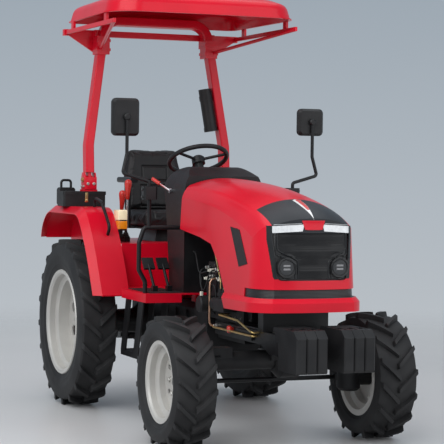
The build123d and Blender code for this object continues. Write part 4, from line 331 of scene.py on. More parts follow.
# Engine bay, in millimetres with x from the rear axle
BREATHER_ROUTE = (
    (1196, -150, 925), (1196, -205, 925), (1204, -232, 905), (1222, -238, 850), (1252, -240, 806),
    (1290, -240, 800), (1324, -238, 842), (1342, -232, 900), (1348, -205, 925), (1348, -150, 925),
)
FUEL_ROUTE = (
    (1622, -238, 878), (1622, -238, 925), (1606, -237, 962), (1556, -234, 956), (1490, -230, 918),
    (1420, -226, 908), (1386, -214, 914), (1376, -190, 918), (1376, -150, 918),
)
RETURN_ROUTE = (
    (1400, -210, 760), (1400, -212, 806), (1386, -216, 836), (1350, -222, 842), (1308, -222, 846),
    (1276, -212, 870), (1264, -190, 880), (1264, -150, 880),
)
LOOM_ROUTE = (
    (1018, -205, 1010), (1062, -206, 1008), (1100, -214, 975), (1140, -222, 925), (1190, -228, 890),
    (1240, -226, 900), (1268, -208, 912), (1276, -180, 914), (1276, -150, 914),
)
PLUG_ROUTE = (
    (1180, -150, 890), (1180, -186, 890), (1186, -214, 880), (1204, -224, 850), (1214, -226, 815),
    (1216, -226, 788),
)
PLUG_PLACES = (
    (1276, -186, 914), (1228, -190, 866), (1440, -190, 870),
)
FITTINGS = (
    ((1196, -172, 925), (0, -1, 0)), ((1348, -172, 925), (0, -1, 0)), ((1376, -172, 918), (0, -1, 0)),
    ((1622, -238, 890), (0, 0, 1)), ((1264, -172, 880), (0, -1, 0)), ((1364, -186, 606), (0, -1, 0)),
    ((1364, -172, 872), (0, -1, 0)),
)
COPPER_ROUTE = (
    (1364, -150, 872), (1364, -205, 872), (1364, -222, 868), (1364, -232, 852), (1364, -234, 820),
    (1364, -234, 740), (1364, -234, 650), (1364, -232, 622), (1364, -222, 609), (1364, -205, 606),
    (1364, -176, 606),
)
CAP_PLACE = (1594, -185, 606)
# Name, route, then length and diameter in metres, and stiffness
CORDS = (
    ("breather_hose", BREATHER_ROUTE, 0.43, 0.0085, "medium"),
    ("fuel_hose", FUEL_ROUTE, 0.376, 0.0065, "medium"),
    ("return_hose", RETURN_ROUTE, 0.259, 0.0075, "medium"),
    ("loom_wire", LOOM_ROUTE, 0.358, 0.008, "limp"),
)
SENDER_DIAMETER = 0.005
# Corners round a place and rounding, in metres
PLUG_BOXES = (
    ((-0.010, -0.008, -0.034), (0.010, 0.008, 0.002), 0.003),
    ((-0.007, -0.006, -0.042), (0.007, 0.006, -0.030), 0.002),
)
SOCKET_BOXES = (
    ((-0.012, -0.016, -0.010), (0.012, 0.030, 0.010), 0.003),
    ((-0.008, -0.026, -0.007), (0.008, 0.0, 0.007), 0.002),
)
COLLAR = (
    (0.008, -0.012), (0.008, 0.0), (0.0125, 0.0005), (0.0125, 0.010), (0.0095, 0.012), (0.0095, 0.024),
    (0.007, 0.026),
)
CAP = (
    (0.012, -0.004), (0.012, 0.010), (0.020, 0.012), (0.0215, 0.016), (0.0215, 0.026), (0.018, 0.031),
    (0.006, 0.033),
)
COPPER_RADIUS = 0.006

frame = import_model()
nodes = frame["nodes"]
joints = {joint["name"]: Vector(joint["pos_m"]) for joint in frame["joints"]}


def new_material(name):
    """Empty principled material, its node tree and its shader."""
    made = bpy.data.materials.new(name)
    made.use_nodes = True
    return made, made.node_tree, made.node_tree.nodes["Principled BSDF"]


def feed(tree, node, **inputs):
    """Sets a shader node's inputs to values, or links them to the outputs of other nodes."""
    for name, source in inputs.items():
        socket = node.inputs[name.replace("_", " ")]
        if isinstance(source, bpy.types.NodeSocket):
            tree.links.new(source, socket)
        else:
            socket.default_value = source


def fed(tree, kind, **inputs):
    """New shader node with its inputs set or linked."""
    made = tree.nodes.new(f"ShaderNode{kind}")
    feed(tree, made, **inputs)
    return made


def coords(tree, kind="Object"):
    """Texture coordinates, the object's own unless another kind is named."""
    return tree.nodes.new("ShaderNodeTexCoord").outputs[kind]


def noise(tree, scale, detail):
    """Noise texture in the object's own coordinates."""
    return fed(tree, "TexNoise", Vector=coords(tree), Scale=scale, Detail=detail).outputs["Fac"]


def bumped(tree, shader, height, strength):
    """Relief on the shader's normal from a height."""
    bump = fed(tree, "Bump", Height=height, Strength=strength, Distance=RELIEF)
    feed(tree, shader, Normal=bump.outputs["Normal"])


def mottled(tree, shader, light, dark, scale, low=0.35, high=0.65):
    """Base colour that drifts between two tones."""
    ramp = fed(tree, "ValToRGB", Fac=noise(tree, scale, 6.0))
    for element, position, tone in zip(ramp.color_ramp.elements, (low, high), (dark, light)):
        element.position = position
        element.color = (*tone, 1)
    feed(tree, shader, Base_Color=ramp.outputs["Color"])


def rough_range(tree, shader, scale, low, high):
    """Roughness that varies over the surface."""
    spread = fed(tree, "MapRange", Value=noise(tree, scale, 5.0), To_Min=low, To_Max=high)
    feed(tree, shader, Roughness=spread.outputs["Result"])


def plain(name, light, dark, tone_scale, rough, grain, grain_strength, metal=0.0, coat=0.0, specular=0.3):
    """Two-tone surface with a grain: plastics, castings, paints and rubber."""
    made, tree, shader = new_material(name)
    mottled(tree, shader, light, dark, tone_scale)
    rough_range(tree, shader, tone_scale * 4, *rough)
    feed(tree, shader, Metallic=metal, Specular_IOR_Level=specular)
    feed(tree, shader, Coat_Weight=coat, Coat_Roughness=COAT_ROUGHNESS)
    bumped(tree, shader, noise(tree, grain, 4.0), grain_strength)
    return made


def louvred(name, light, dark, pitch):
    """Black moulding with fine level ribs."""
    made, tree, shader = new_material(name)
    mottled(tree, shader, light, dark, 9.0)
    rough_range(tree, shader, 30.0, 0.3, 0.42)
    ribs = fed(tree, "TexWave", Vector=coords(tree), Scale=tau / (20 * pitch))
    ribs.bands_direction = "Z"
    bumped(tree, shader, ribs.outputs["Fac"], 0.6)
    return made


def lens(name, colour, glow, cell):
    """Lamp lens: clear coat over a tinted, prismed body, lit from inside."""
    made, tree, shader = new_material(name)
    mottled(tree, shader, colour, tuple(0.85 * c for c in colour), 60.0)
    feed(tree, shader, Roughness=0.12, Coat_Weight=1.0, Emission_Color=(*colour, 1), Emission_Strength=glow)
    prisms = fed(tree, "TexVoronoi", Vector=coords(tree), Scale=1 / cell)
    bumped(tree, shader, prisms.outputs["Distance"], 0.35)
    return made


def mirror_glass():
    """Silvered glass with a trace of dust."""
    made, tree, shader = new_material("mirror_glass")
    mottled(tree, shader, (0.86, 0.88, 0.90), (0.80, 0.82, 0.84), 20.0)
    rough_range(tree, shader, 40.0, 0.01, 0.05)
    feed(tree, shader, Metallic=1.0)
    return made


def dress_nodes():
    """Each CAD node takes the material of its slot."""
    for sub in frame["record"]["subparts"]:
        mesh = nodes[sub["node"]].data
        mesh.materials.clear()
        mesh.materials.append(MATERIALS[sub["material_slot"]])
    nodes["grille"].data.materials[0] = MATERIALS["grille_mesh"]
    nodes["nose_panel"].data.materials[0] = MATERIALS["nose_satin"]


def at(x, y, z):
    """Point in the row frame from millimetres, with x from the rear axle."""
    return Vector((joints["rear_spin_left"].x + x / 1000, y / 1000, z / 1000))


def mix(ends, share):
    """Value at a share of the way between two ends."""
    return ends[0] + share * (ends[1] - ends[0])


def skin_of(*names):
    """Search tree over the surfaces of CAD nodes."""
    verts, faces = [], []
    for name in names:
        mesh = nodes[name].data
        first = len(verts)
        verts += [vert.co.copy() for vert in mesh.vertices]
        faces += [[first + index for index in face.vertices] for face in mesh.polygons]
    return BVHTree.FromPolygons(verts, faces)


def meets(skin, start, direction):
    """Point where a ray first meets a surface."""
    spot, normal, face, gap = skin.ray_cast(Vector(start), Vector(direction))
    return spot


def foremost(skin, y, z, spread):
    """Foremost point of a surface at a place in the front view, bridging slots up to twice the spread."""
    rays = [meets(skin, (FAR_AHEAD, y, z + shift), (-1, 0, 0)) for shift in (-spread, 0.0, spread)]
    return Vector((max(spot.x for spot in rays if spot), y, z))


def islands(node):
    """Boxes of the separate solids in a CAD node, as (low, high) corners sorted from the rear."""
    work = bmesh.new()
    work.from_mesh(nodes[node].data)
    bmesh.ops.remove_doubles(work, verts=work.verts, dist=WELD)
    left = set(work.verts)
    boxes = []
    while left:
        stack = [left.pop()]
        group = []
        while stack:
            vert = stack.pop()
            group.append(vert.co.copy())
            for edge in vert.link_edges:
                other = edge.other_vert(vert)
                if other in left:
                    left.remove(other)
                    stack.append(other)
        low = Vector([min(co[axis] for co in group) for axis in range(3)])
        high = Vector([max(co[axis] for co in group) for axis in range(3)])
        boxes.append((low, high))
    work.free()
    return sorted(boxes, key=lambda box: tuple(box[0]))


def paint_faces(node, material, wanted):
    """Gives a second material to the faces of a CAD node whose centres are wanted."""
    mesh = nodes[node].data
    mesh.materials.append(MATERIALS[material])
    slot = len(mesh.materials) - 1
    for face in mesh.polygons:
        if wanted(face.center):
            face.material_index = slot


def within(box, point, slack=0.0005):
    """Whether a point is inside a box."""
    low, high = box
    return all(low[axis] - slack <= point[axis] <= high[axis] + slack for axis in range(3))


def placed(name, data):
    """Object that shows some data in the scene."""
    made = bpy.data.objects.new(name, data)
    bpy.context.scene.collection.objects.link(made)
    return made


def show(name, work, body, material, crease=CREASE):
    """Piece from a bmesh, smooth but for its creases, that rides on a body and has a material."""
    bmesh.ops.recalc_face_normals(work, faces=work.faces)
    mesh = bpy.data.meshes.new(name)
    work.to_mesh(mesh)
    work.free()
    mesh.materials.append(MATERIALS[material])
    mesh.shade_smooth()
    mesh.set_sharp_from_angle(angle=radians(crease))
    made = placed(name, mesh)
    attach(made, body)
    return made


def add_lathe(work, profile, steps, place, closed=False):
    """Adds a body turned about its own z axis from (radius, z) points, set by a matrix."""
    rings = []
    for step in range(steps):
        turn = tau * step / steps
        rings.append([work.verts.new(place @ Vector((r * cos(turn), r * sin(turn), z))) for r, z in profile])
    count = len(profile)
    for step in range(steps):
        here, there = rings[step], rings[(step + 1) % steps]
        for k in range(count if closed else count - 1):
            after = (k + 1) % count
            work.faces.new((here[k], there[k], there[after], here[after]))
    if not closed:
        for end in (0, count - 1):
            if profile[end][0] > 1e-6:
                work.faces.new([ring[end] for ring in rings])


def facing(place, direction):
    """Matrix that puts a local z axis at a place along a direction."""
    return Matrix.Translation(place) @ Vector(direction).to_track_quat("Z", "Y").to_matrix().to_4x4()


def add_bolt(work, place, direction, size):
    """Adds a hexagon-headed bolt with its washer, standing on a surface; size is the thread's diameter."""
    stand = facing(place, direction)
    washer = [(WASHER[0][0] * size, -BOLT_SINK)] + [(r * size, z * size) for r, z in WASHER]
    add_lathe(work, washer, 20, stand)
    add_lathe(work, [(r * size, z * size) for r, z in HEAD], 6, stand)


def add_slab(work, top, base):
    """Adds a closed slab between two grids of points of the same size."""
    upper = [[work.verts.new(spot) for spot in row] for row in top]
    lower = [[work.verts.new(spot) for spot in row] for row in base]
    rows, columns = len(top), len(top[0])
    for sheet in (upper, lower):
        for here, there in zip(sheet, sheet[1:]):
            for k in range(columns - 1):
                work.faces.new((here[k], here[k + 1], there[k + 1], there[k]))
    for k in (0, columns - 1):
        for r in range(rows - 1):
            work.faces.new((upper[r][k], upper[r + 1][k], lower[r + 1][k], lower[r][k]))
    for r in (0, rows - 1):
        for k in range(columns - 1):
            work.faces.new((upper[r][k], upper[r][k + 1], lower[r][k + 1], lower[r][k]))


def add_tube(work, points, radius, sides=10):
    """Adds a round bar that follows points."""
    rings = []
    across = None
    for k, point in enumerate(points):
        run = (points[min(k + 1, len(points) - 1)] - points[max(k - 1, 0)]).normalized()
        across = run.orthogonal() if across is None else across
        across = (across - run * across.dot(run)).normalized()
        other = run.cross(across)
        turns = [tau * side / sides for side in range(sides)]
        spokes = [across * cos(turn) + other * sin(turn) for turn in turns]
        rings.append([work.verts.new(point + radius * spoke) for spoke in spokes])
    for here, there in zip(rings, rings[1:]):
        for side in range(sides):
            after = (side + 1) % sides
            work.faces.new((here[side], here[after], there[after], there[side]))
    work.faces.new(rings[0])
    work.faces.new(rings[-1])


def add_prism(work, outline, depth, rounding):
    """Adds a plate from a flat outline of points, given a depth and rounded edges."""
    front = [work.verts.new(Vector(spot)) for spot in outline]
    back = [work.verts.new(Vector(spot) + Vector(depth)) for spot in outline]
    faces = [work.faces.new(front), work.faces.new(list(reversed(back)))]
    for k in range(len(outline)):
        after = (k + 1) % len(outline)
        faces.append(work.faces.new((front[k], back[k], back[after], front[after])))
    edges = {edge for face in faces for edge in face.edges}
    bmesh.ops.recalc_face_normals(work, faces=faces)
    bmesh.ops.bevel(work, geom=list(edges), offset=rounding, segments=3, profile=0.5, affect="EDGES")


def add_round_box(work, low, high, rounding):
    """Adds a box with rounded edges."""
    (x0, y0, z0), (x1, y1, z1) = low, high
    add_prism(work, [(x0, y0, z0), (x1, y0, z0), (x1, y1, z0), (x0, y1, z0)], (0, 0, z1 - z0), rounding)


def add_boxes(work, place, boxes):
    """Adds rounded boxes given by their corners round a place."""
    for low, high, rounding in boxes:
        add_round_box(work, place + Vector(low), place + Vector(high), rounding)


def bolts(name, spots, body, material="bolt_zinc"):
    """One piece with a bolt at each (place, direction, size)."""
    work = bmesh.new()
    for place, direction, size in spots:
        add_bolt(work, place, direction, size)
    show(name, work, body, material, BOLT_CREASE)


def carcass_profile(half, tread, belly, bead, bead_half):
    """Cross-section of a tyre's carcass as (y, radius) points from the outer bead to the inner one."""
    rise = tread - belly
    edge, drop = TREAD_EDGE
    side = [(mix((bead_half, half), out) + ridge, mix((bead, belly), up)) for out, up, ridge in LOWER_WALL]
    side += [(half - inset, belly + up + share * rise) for inset, up, share in BELLY]
    side += [(half - inset * (1 - TREAD_SHARE) * half, belly + share * rise) for inset, share in SHOULDER]
    side += [(TREAD_SHARE * half - edge, tread - drop), (0.5 * half, tread), (0.0, tread)]
    return side + [(-y, r) for y, r in reversed(side[:-1])]


def carcass_radius(profile, y):
    """Radius of the carcass's outside at a distance from its middle."""
    outer = [point for point in profile if point[0] >= 0]
    widest = max(outer)
    outer = sorted(point for point in outer if point[1] >= widest[1])
    for (y0, r0), (y1, r1) in zip(outer, outer[1:]):
        if y0 <= y <= y1:
            return mix((r0, r1), (y - y0) / (y1 - y0))
    return outer[-1][1]


def add_lug(work, turn, row, radius, half, pitch, profile):
    """Adds one rounded, tapered tread bar that slants from past the middle to the shoulder of its row."""
    inner, outer = -LUG_OVERLAP, LUG_REACH * half
    middle = (inner + outer) / 2
    sections = []
    for k in range(LUG_SECTIONS):
        y = mix((inner, outer), k / (LUG_SECTIONS - 1))
        top_y = middle + (y - middle) * (1 - LUG_END_DRAFT / (outer - middle))
        swing = LUG_SLOPE * (y - middle)
        root = carcass_radius(profile, max(y, 0.0)) - LUG_SINK
        crown = radius - (LUG_END_DROP if k in (0, LUG_SECTIONS - 1) else 0.0)
        corners = []
        for level, across, width in ((root, y, LUG_ROOT_SHARE), (crown, top_y, LUG_CROWN_SHARE)):
            for sign in (-1, 1):
                angle = turn + (swing + sign * width * pitch / 2) / radius
                corners.append(Vector((level * cos(angle), row * across, level * sin(angle))))
        sections.append([work.verts.new(corners[index]) for index in (0, 2, 3, 1)])
    tops = []
    for here, there in zip(sections, sections[1:]):
        for k in range(4):
            after = (k + 1) % 4
            face = work.faces.new((here[k], there[k], there[after], here[after]))
            if k == 1:
                tops.append(face)
    ends = [work.faces.new(sections[0]), work.faces.new(list(reversed(sections[-1])))]
    return tops, ends


def tyre(end, side):
    """Field tyre with a round carcass and rounded bars in place of the faceted solid."""
    node = f"{end}_tyre_{side}"
    sign = 1 if side == "left" else -1
    low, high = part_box(node)
    rim_low, rim_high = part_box(f"{end}_rim_{side}")
    half = (high.y - low.y) / 2
    radius = (high.x - low.x) / 2
    rim_radius = (rim_high.x - rim_low.x) / 2
    lugs = WHEELS[end]["lugs"]
    tread = radius - WHEELS[end]["lug_height"]
    bead = rim_radius - RIM_FLANGE + BEAD_RISE
    belly = (tread + rim_radius) / 2 + BELLY_RISE
    profile = carcass_profile(half, tread, belly, bead, (rim_high.y - rim_low.y) / 2 - BEAD_INSET)
    work = bmesh.new()
    across = Matrix.Rotation(-pi / 2, 4, "X")
    add_lathe(work, [(r, y) for y, r in profile], TYRE_STEPS, across, closed=True)
    pitch = tau * radius / lugs
    rounded = set()
    for row, shift in ((sign, 0.0), (-sign, 0.5)):
        for k in range(lugs):
            tops, ends = add_lug(work, tau * (k + shift) / lugs, row, radius, half, pitch, profile)
            edges = [edge for face in tops for edge in face.edges]
            rounded.update(edge for edge in edges if edge.calc_face_angle(0.0) > LUG_CREASE)
            rounded.update(edge for face in ends for edge in face.edges)
    bmesh.ops.bevel(work, geom=list(rounded), offset=LUG_ROUNDING, segments=2, profile=0.5, affect="EDGES")
    bmesh.ops.translate(work, verts=work.verts, vec=joints[f"{end}_spin_{side}"])
    made = show(f"{node}_rubber", work, f"{end}_wheel_{side}", "tyre_rubber")
    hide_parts(node)


def wheel_nuts(end, side):
    """Hexagon nuts on a wheel's studs."""
    sign = 1 if side == "left" else -1
    hub = joints[f"{end}_spin_{side}"]
    wheel = WHEELS[end]
    spots = []
    for k in range(wheel["studs"]):
        turn = tau * k / wheel["studs"]
        around = wheel["stud_ring"] * Vector((cos(turn), 0, -sin(turn)))
        spots.append((hub + around + Vector((0, sign * wheel["nut_seat"], 0)), (0, sign, 0), WHEEL_NUT_SIZE))
    bolts(f"{end}_wheel_nuts_{side}", spots, f"{end}_wheel_{side}")


def padded_copy(node, shrink):
    """Copy of a soft CAD solid, remeshed and swollen by a short cloth simulation."""
    mesh = nodes[node].data.copy()
    work = bmesh.new()
    work.from_mesh(mesh)
    bmesh.ops.remove_doubles(work, verts=work.verts, dist=WELD)
    middle = sum((vert.co for vert in work.verts), Vector()) / len(work.verts)
    size = max(vert.co.y for vert in work.verts) - min(vert.co.y for vert in work.verts)
    for vert in work.verts:
        vert.co = middle + (vert.co - middle) * (1 - 2 * shrink / size)
    work.to_mesh(mesh)
    work.free()
    made = placed(f"{node}_pad", mesh)
    bpy.context.view_layer.objects.active = made
    remesh = made.modifiers.new("remesh", "REMESH")
    remesh.mode = "VOXEL"
    remesh.voxel_size = SEAT_VOXEL
    apply_all(made)
    swell(made)
    return made


def apply_all(made):
    """Replaces an object's mesh by what its modifiers make of it."""
    shown = made.evaluated_get(bpy.context.evaluated_depsgraph_get())
    mesh = bpy.data.meshes.new_from_object(shown)
    made.modifiers.clear()
    made.data = mesh


def swell(made):
    """Cloth with inner pressure, each point held within a cap of its start."""
    rest = [vert.co.copy() for vert in made.data.vertices]
    cloth = made.modifiers.new("cloth", "CLOTH")
    cloth.settings.use_pressure = True
    cloth.settings.uniform_pressure_force = SEAT_PRESSURE
    cloth.settings.effector_weights.gravity = 0.0
    cloth.point_cache.frame_start = 1
    cloth.point_cache.frame_end = SEAT_FRAMES
    scene = bpy.context.scene
    for step in range(1, SEAT_FRAMES + 1):
        scene.frame_set(step)
    apply_all(made)
    scene.frame_set(1)
    for vert, start in zip(made.data.vertices, rest):
        move = vert.co - start
        if move.length > SEAT_SWELL:
            vert.co = start + move.normalized() * SEAT_SWELL


def sewn(made, depth_of):
    """Subdivides a pad once and presses its sewn channels in by a depth for each point."""
    modifier = made.modifiers.new("finer", "SUBSURF")
    modifier.levels = modifier.render_levels = 1
    apply_all(made)
    normals = [vert.normal.copy() for vert in made.data.vertices]
    for vert, normal in zip(made.data.vertices, normals):
        vert.co -= normal * depth_of(vert.co, normal)
    made.data.update()


def channel(distance):
    """Depth of a sewn channel at a distance from its middle."""
    return CHANNEL_DEPTH * exp(-((distance / CHANNEL_WIDTH) ** 2))


def frame_distance(u, v, half_u, low_v, high_v):
    """Distance from a point to the outline of a rectangle."""
    du = abs(u) - half_u
    dv = max(low_v - v, v - high_v)
    if du <= 0 and dv <= 0:
        return min(-du, -dv)
    return (max(du, 0.0) ** 2 + max(dv, 0.0) ** 2) ** 0.5


def seat():
    """Vinyl cushion and back, swollen over their foam, with the sewn channels of their panels."""
    low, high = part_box("seat_back")
    lean = radians(SEAT_RECLINE)
    up = Vector((-sin(lean), 0, cos(lean)))
    foot = Vector((high.x, 0, low.z))
    height = (high.z - low.z) / cos(lean)
    cushion_low, cushion_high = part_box("seat_cushion")
    run = cushion_high.x - cushion_low.x

    def back_depth(point, normal):
        if normal.x < CHANNEL_FACING:
            return 0.0
        rise = (point - foot).dot(up)
        lines = [frame_distance(point.y, rise, half, a * height, b * height) for half, a, b in BACK_PANELS]
        return sum(channel(line) for line in lines)

    def cushion_depth(point, normal):
        if normal.z < CHANNEL_FACING:
            return 0.0
        across = [abs(abs(point.y) - CUSHION_SEAM)]
        if abs(point.y) < CUSHION_SEAM:
            across += [abs(point.x - cushion_low.x - share * run) for share in CUSHION_CHANNELS]
        return max(channel(distance) for distance in across)

    for node, depth in (("seat_back", back_depth), ("seat_cushion", cushion_depth)):
        made = padded_copy(node, SEAT_SHRINK)
        sewn(made, depth)
        made.data.materials.clear()
        made.data.materials.append(MATERIALS["seat_vinyl"])
        made.data.shade_smooth()
        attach(made, "chassis")
        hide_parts(node)


def headlamps():
    """Dark round lamps with light bars and rings."""
    boxes = islands("headlamps")
    strip_low = max(low.z for low, high in boxes)
    rounds = [box for box in boxes if box[1].z < strip_low]
    paint_faces("headlamps", "fog_glass", lambda point: any(within(box, point) for box in rounds))
    bars, rings = bmesh.new(), bmesh.new()
    depth, width, height = LAMP_BAR
    for low, high in rounds:
        middle = (low + high) / 2
        radius = (high.z - low.z) / 2
        for shift in LAMP_BAR_SHIFTS:
            place = (high.x + LAMP_BAR_LIFT, middle.y, middle.z + shift * radius)
            bar = bmesh.ops.create_cube(bars, size=1.0)["verts"]
            bmesh.ops.scale(bars, verts=bar, vec=(depth, width * radius, height * radius))
            bmesh.ops.translate(bars, verts=bar, vec=place)
        ring = [(share * radius, lift) for share, lift in LAMP_RING]
        add_lathe(rings, ring, 48, facing((high.x, middle.y, middle.z), (1, 0, 0)), closed=True)
    bmesh.ops.bevel(bars, geom=bars.edges[:], offset=LAMP_BAR_ROUNDING, segments=2, affect="EDGES")
    show("lamp_bars", bars, "bonnet", "led_bar")
    show("lamp_bezels", rings, "bonnet", "black_plastic")


def markers():
    """Two-tone marker lenses and red tail lenses on black housings."""
    pale, amber, red = bmesh.new(), bmesh.new(), bmesh.new()
    grow = Vector((LENS_PROUD, LENS_PROUD, LENS_PROUD))
    for low, high in islands("marker_lamps"):
        outer_low, outer_high = low - grow, high + grow
        if low.x < joints["rear_spin_left"].x:
            add_round_box(red, outer_low, outer_high, TAIL_ROUNDING)
            continue
        split = mix((low.z, high.z), MARKER_SPLIT)
        add_round_box(pale, (outer_low.x, outer_low.y, split), outer_high, MARKER_ROUNDING)
        foot = (outer_low.x, outer_low.y, low.z + MARKER_FOOT)
        add_round_box(amber, foot, (outer_high.x, outer_high.y, split - LENS_GAP), MARKER_ROUNDING)
    paint_faces("marker_lamps", "black_steel", lambda point: True)
    show("marker_lenses", pale, "chassis", "pale_lens")
    show("indicator_lenses", amber, "chassis", "amber_lens")
    show("tail_lenses", red, "chassis", "tail_lens")


def levers():
    """Red grips on bright stems, black plinths with rubber gaiters."""
    boxes = islands("hand_levers")
    upright = [box for box in boxes if box[1].z - box[0].z > LEVER_UPRIGHT]
    stalk = next(box for box in boxes if box not in upright)

    def grip(point):
        if within(stalk, point):
            return point.y < mix((stalk[0].y, stalk[1].y), STALK_GRIP)
        return any(within(box, point) and point.z > box[1].z - LEVER_GRIP for box in upright)

    def base(point):
        return any(within(box, point) and point.z < box[0].z + LEVER_PLINTH for box in upright)

    paint_faces("hand_levers", "knob_red", grip)
    paint_faces("hand_levers", "black_steel", base)
    gaiters, grips = bmesh.new(), bmesh.new()
    for low, high in upright:
        middle = (low.y + high.y) / 2
        stem = Vector((low.x + LEVER_STEM, middle, low.z + LEVER_PLINTH - GAITER_SINK))
        knob = Vector((high.x - LEVER_KNOB, middle, high.z - LEVER_KNOB))
        lean = (knob - stem).normalized()
        add_lathe(gaiters, GAITER, 28, facing(stem, lean))
        add_lathe(grips, GRIP, 28, facing(knob, lean))
    show("lever_gaiters", gaiters, "chassis", "mat_rubber")
    show("lever_grips", grips, "chassis", "knob_red")


def rounded_plate(work, centre, normal, across, width, height, depth, corner):
    """Adds a plate with round corners from its back face's centre, its normal and the way of its width."""
    normal, across = Vector(normal).normalized(), Vector(across).normalized()
    up = normal.cross(across)
    flat_x, flat_y = width / 2 - corner, height / 2 - corner
    outline = []
    for quarter, (sx, sy) in enumerate(((1, 1), (-1, 1), (-1, -1), (1, -1))):
        for k in range(CORNER_STEPS + 1):
            turn = pi / 2 * (quarter + k / CORNER_STEPS)
            outline.append((sx * flat_x + corner * cos(turn), sy * flat_y + corner * sin(turn)))
    rings = []
    for lift, shrink in ((0.0, 0.0), (0.75 * depth, 0.0), (depth, 0.25 * depth)):
        middle = Vector(centre) + normal * lift
        rings.append([
            work.verts.new(middle + across * (u - shrink * u / width) + up * (v - shrink * v / height))
            for u, v in outline
        ])
    count = len(outline)
    for here, there in zip(rings, rings[1:]):
        for k in range(count):
            work.faces.new((here[k], here[(k + 1) % count], there[(k + 1) % count], there[k]))
    work.faces.new(list(reversed(rings[0])))
    work.faces.new(rings[-1])


def mirrors():
    """Glass in the rear faces of the mirror heads."""
    work = bmesh.new()
    for low, high in islands("mirror_heads"):
        middle = (low + high) / 2
        rounded_plate(
            work, (low.x + MIRROR_LIFT, middle.y, middle.z), (-1, 0, 0), (0, 1, 0),
            high.y - low.y - MIRROR_MARGIN, high.z - low.z - MIRROR_MARGIN, MIRROR_DEPTH, MIRROR_CORNER,
        )
    show("mirror_glasses", work, "chassis", "mirror_glass")


def nose_spot(skin, turn, y, lift):
    """Point on the nose where it is met towards a middle, lifted off the surface."""
    middle = at(*NOSE_MIDDLE) + Vector((0, y, 0))
    out = Vector((cos(radians(turn)), 0, sin(radians(turn))))
    return meets(skin, middle + out, -out) + out * lift


def nose_spear():
    """Slim arrow-shaped trim down the middle of the nose, white with a red inlay along one side."""
    skin = skin_of("nose_panel")
    run, waist = SPEAR_TAPER
    for name, material, shares, sides, lift in SPEAR_PARTS:
        rows = []
        for k in range(SPEAR_ROWS + 1):
            share = mix(shares, k / SPEAR_ROWS)
            narrowing = 1 - (1 - waist) * share / run if share < run else waist * (1 - share) / (1 - run)
            wide = max(SPEAR_HALF_WIDTH * min(share / SPEAR_SHOULDER, narrowing), SPEAR_TIP)
            turn = mix(SPEAR_TURNS, share)
            rows.append([(turn, wide * mix(sides, a / SPEAR_COLUMNS)) for a in range(SPEAR_COLUMNS + 1)])
        work = bmesh.new()
        top = [[nose_spot(skin, turn, y, lift) for turn, y in row] for row in rows]
        base = [[nose_spot(skin, turn, y, -SPEAR_SINK) for turn, y in row] for row in rows]
        add_slab(work, top, base)
        show(name, work, "bonnet", material)


def nose_plaque(skin):
    """Bare red plaque between the lamps, with a raised rim."""
    work = bmesh.new()
    top, base = [], []
    for r in range(PLAQUE_ROWS + 1):
        z = mix(PLAQUE_Z, r / PLAQUE_ROWS)
        half = mix(PLAQUE_HALF, r / PLAQUE_ROWS)
        front = max(foremost(skin, y, z, PLAQUE_BRIDGE).x for y in (-0.5 * half, 0.0, 0.5 * half))
        rim = r in (0, 1, PLAQUE_ROWS - 1, PLAQUE_ROWS)
        spots = [Vector((front - PLAQUE_BOW * (a * half) ** 2, a * half, z)) for a in PLAQUE_COLUMNS]
        lifts = [PLAQUE_RIM if rim or abs(a) > PLAQUE_RIM_SHARE else PLAQUE_FIELD for a in PLAQUE_COLUMNS]
        top.append([spot + Vector((lift, 0, 0)) for spot, lift in zip(spots, lifts)])
        base.append([spot - Vector((PLAQUE_SINK, 0, 0)) for spot in spots])
    add_slab(work, top, base)
    show("nose_plaque", work, "bonnet", "red_paint")


def nose_lip_highlight(skin):
    """Lip along the nose, on both sides of the plaque, light grey as a painted highlight along the nose's
    edge.
    """
    work = bmesh.new()
    shares = [k / LIP_STEPS for k in range(LIP_STEPS + 1)]
    for side in (-1, 1):
        line = [foremost(skin, side * mix(LIP_Y, share), mix(LIP_Z, share), LIP_BRIDGE) for share in shares]
        # Painted highlight: the lip's light grey stands for the shine along the nose's lower edge
        add_tube(work, line, LIP_RADIUS)
    show("nose_lip_highlight", work, "bonnet", "lip_highlight_grey")


def screen_half(z):
    """Half width of the grille's screen, wide above the lamps' level and narrow between the lamps."""
    share = min(max((z - SCREEN_BEND[0]) / (SCREEN_BEND[1] - SCREEN_BEND[0]), 0.0), 1.0)
    return mix(SCREEN_HALF, share * share * (3 - 2 * share))


def grille_screen(skin):
    """Finely ribbed screen over the grille's bars."""
    work = bmesh.new()
    top, base = [], []
    for r in range(SCREEN_ROWS + 1):
        z = mix(SCREEN_Z, r / SCREEN_ROWS)
        half = screen_half(z)
        levels = [min(max(z + shift, SCREEN_Z[0]), SCREEN_Z[1]) for shift in SCREEN_WINDOW]
        spots = []
        for a in range(SCREEN_COLUMNS + 1):
            y = half * (2 * a / SCREEN_COLUMNS - 1)
            near = [foremost(skin, y, level, SCREEN_BRIDGE).x for level in levels]
            front = max(sum(near) / len(near), near[len(near) // 2] - SCREEN_DIP)
            spots.append(Vector((front, y, z)))
        top.append([spot + Vector((SCREEN_RIBS[r % 2], 0, 0)) for spot in spots])
        base.append([spot - Vector((SCREEN_SINK, 0, 0)) for spot in spots])
    add_slab(work, top, base)
    show("grille_screen", work, "bonnet", "screen_black", SCREEN_CREASE)


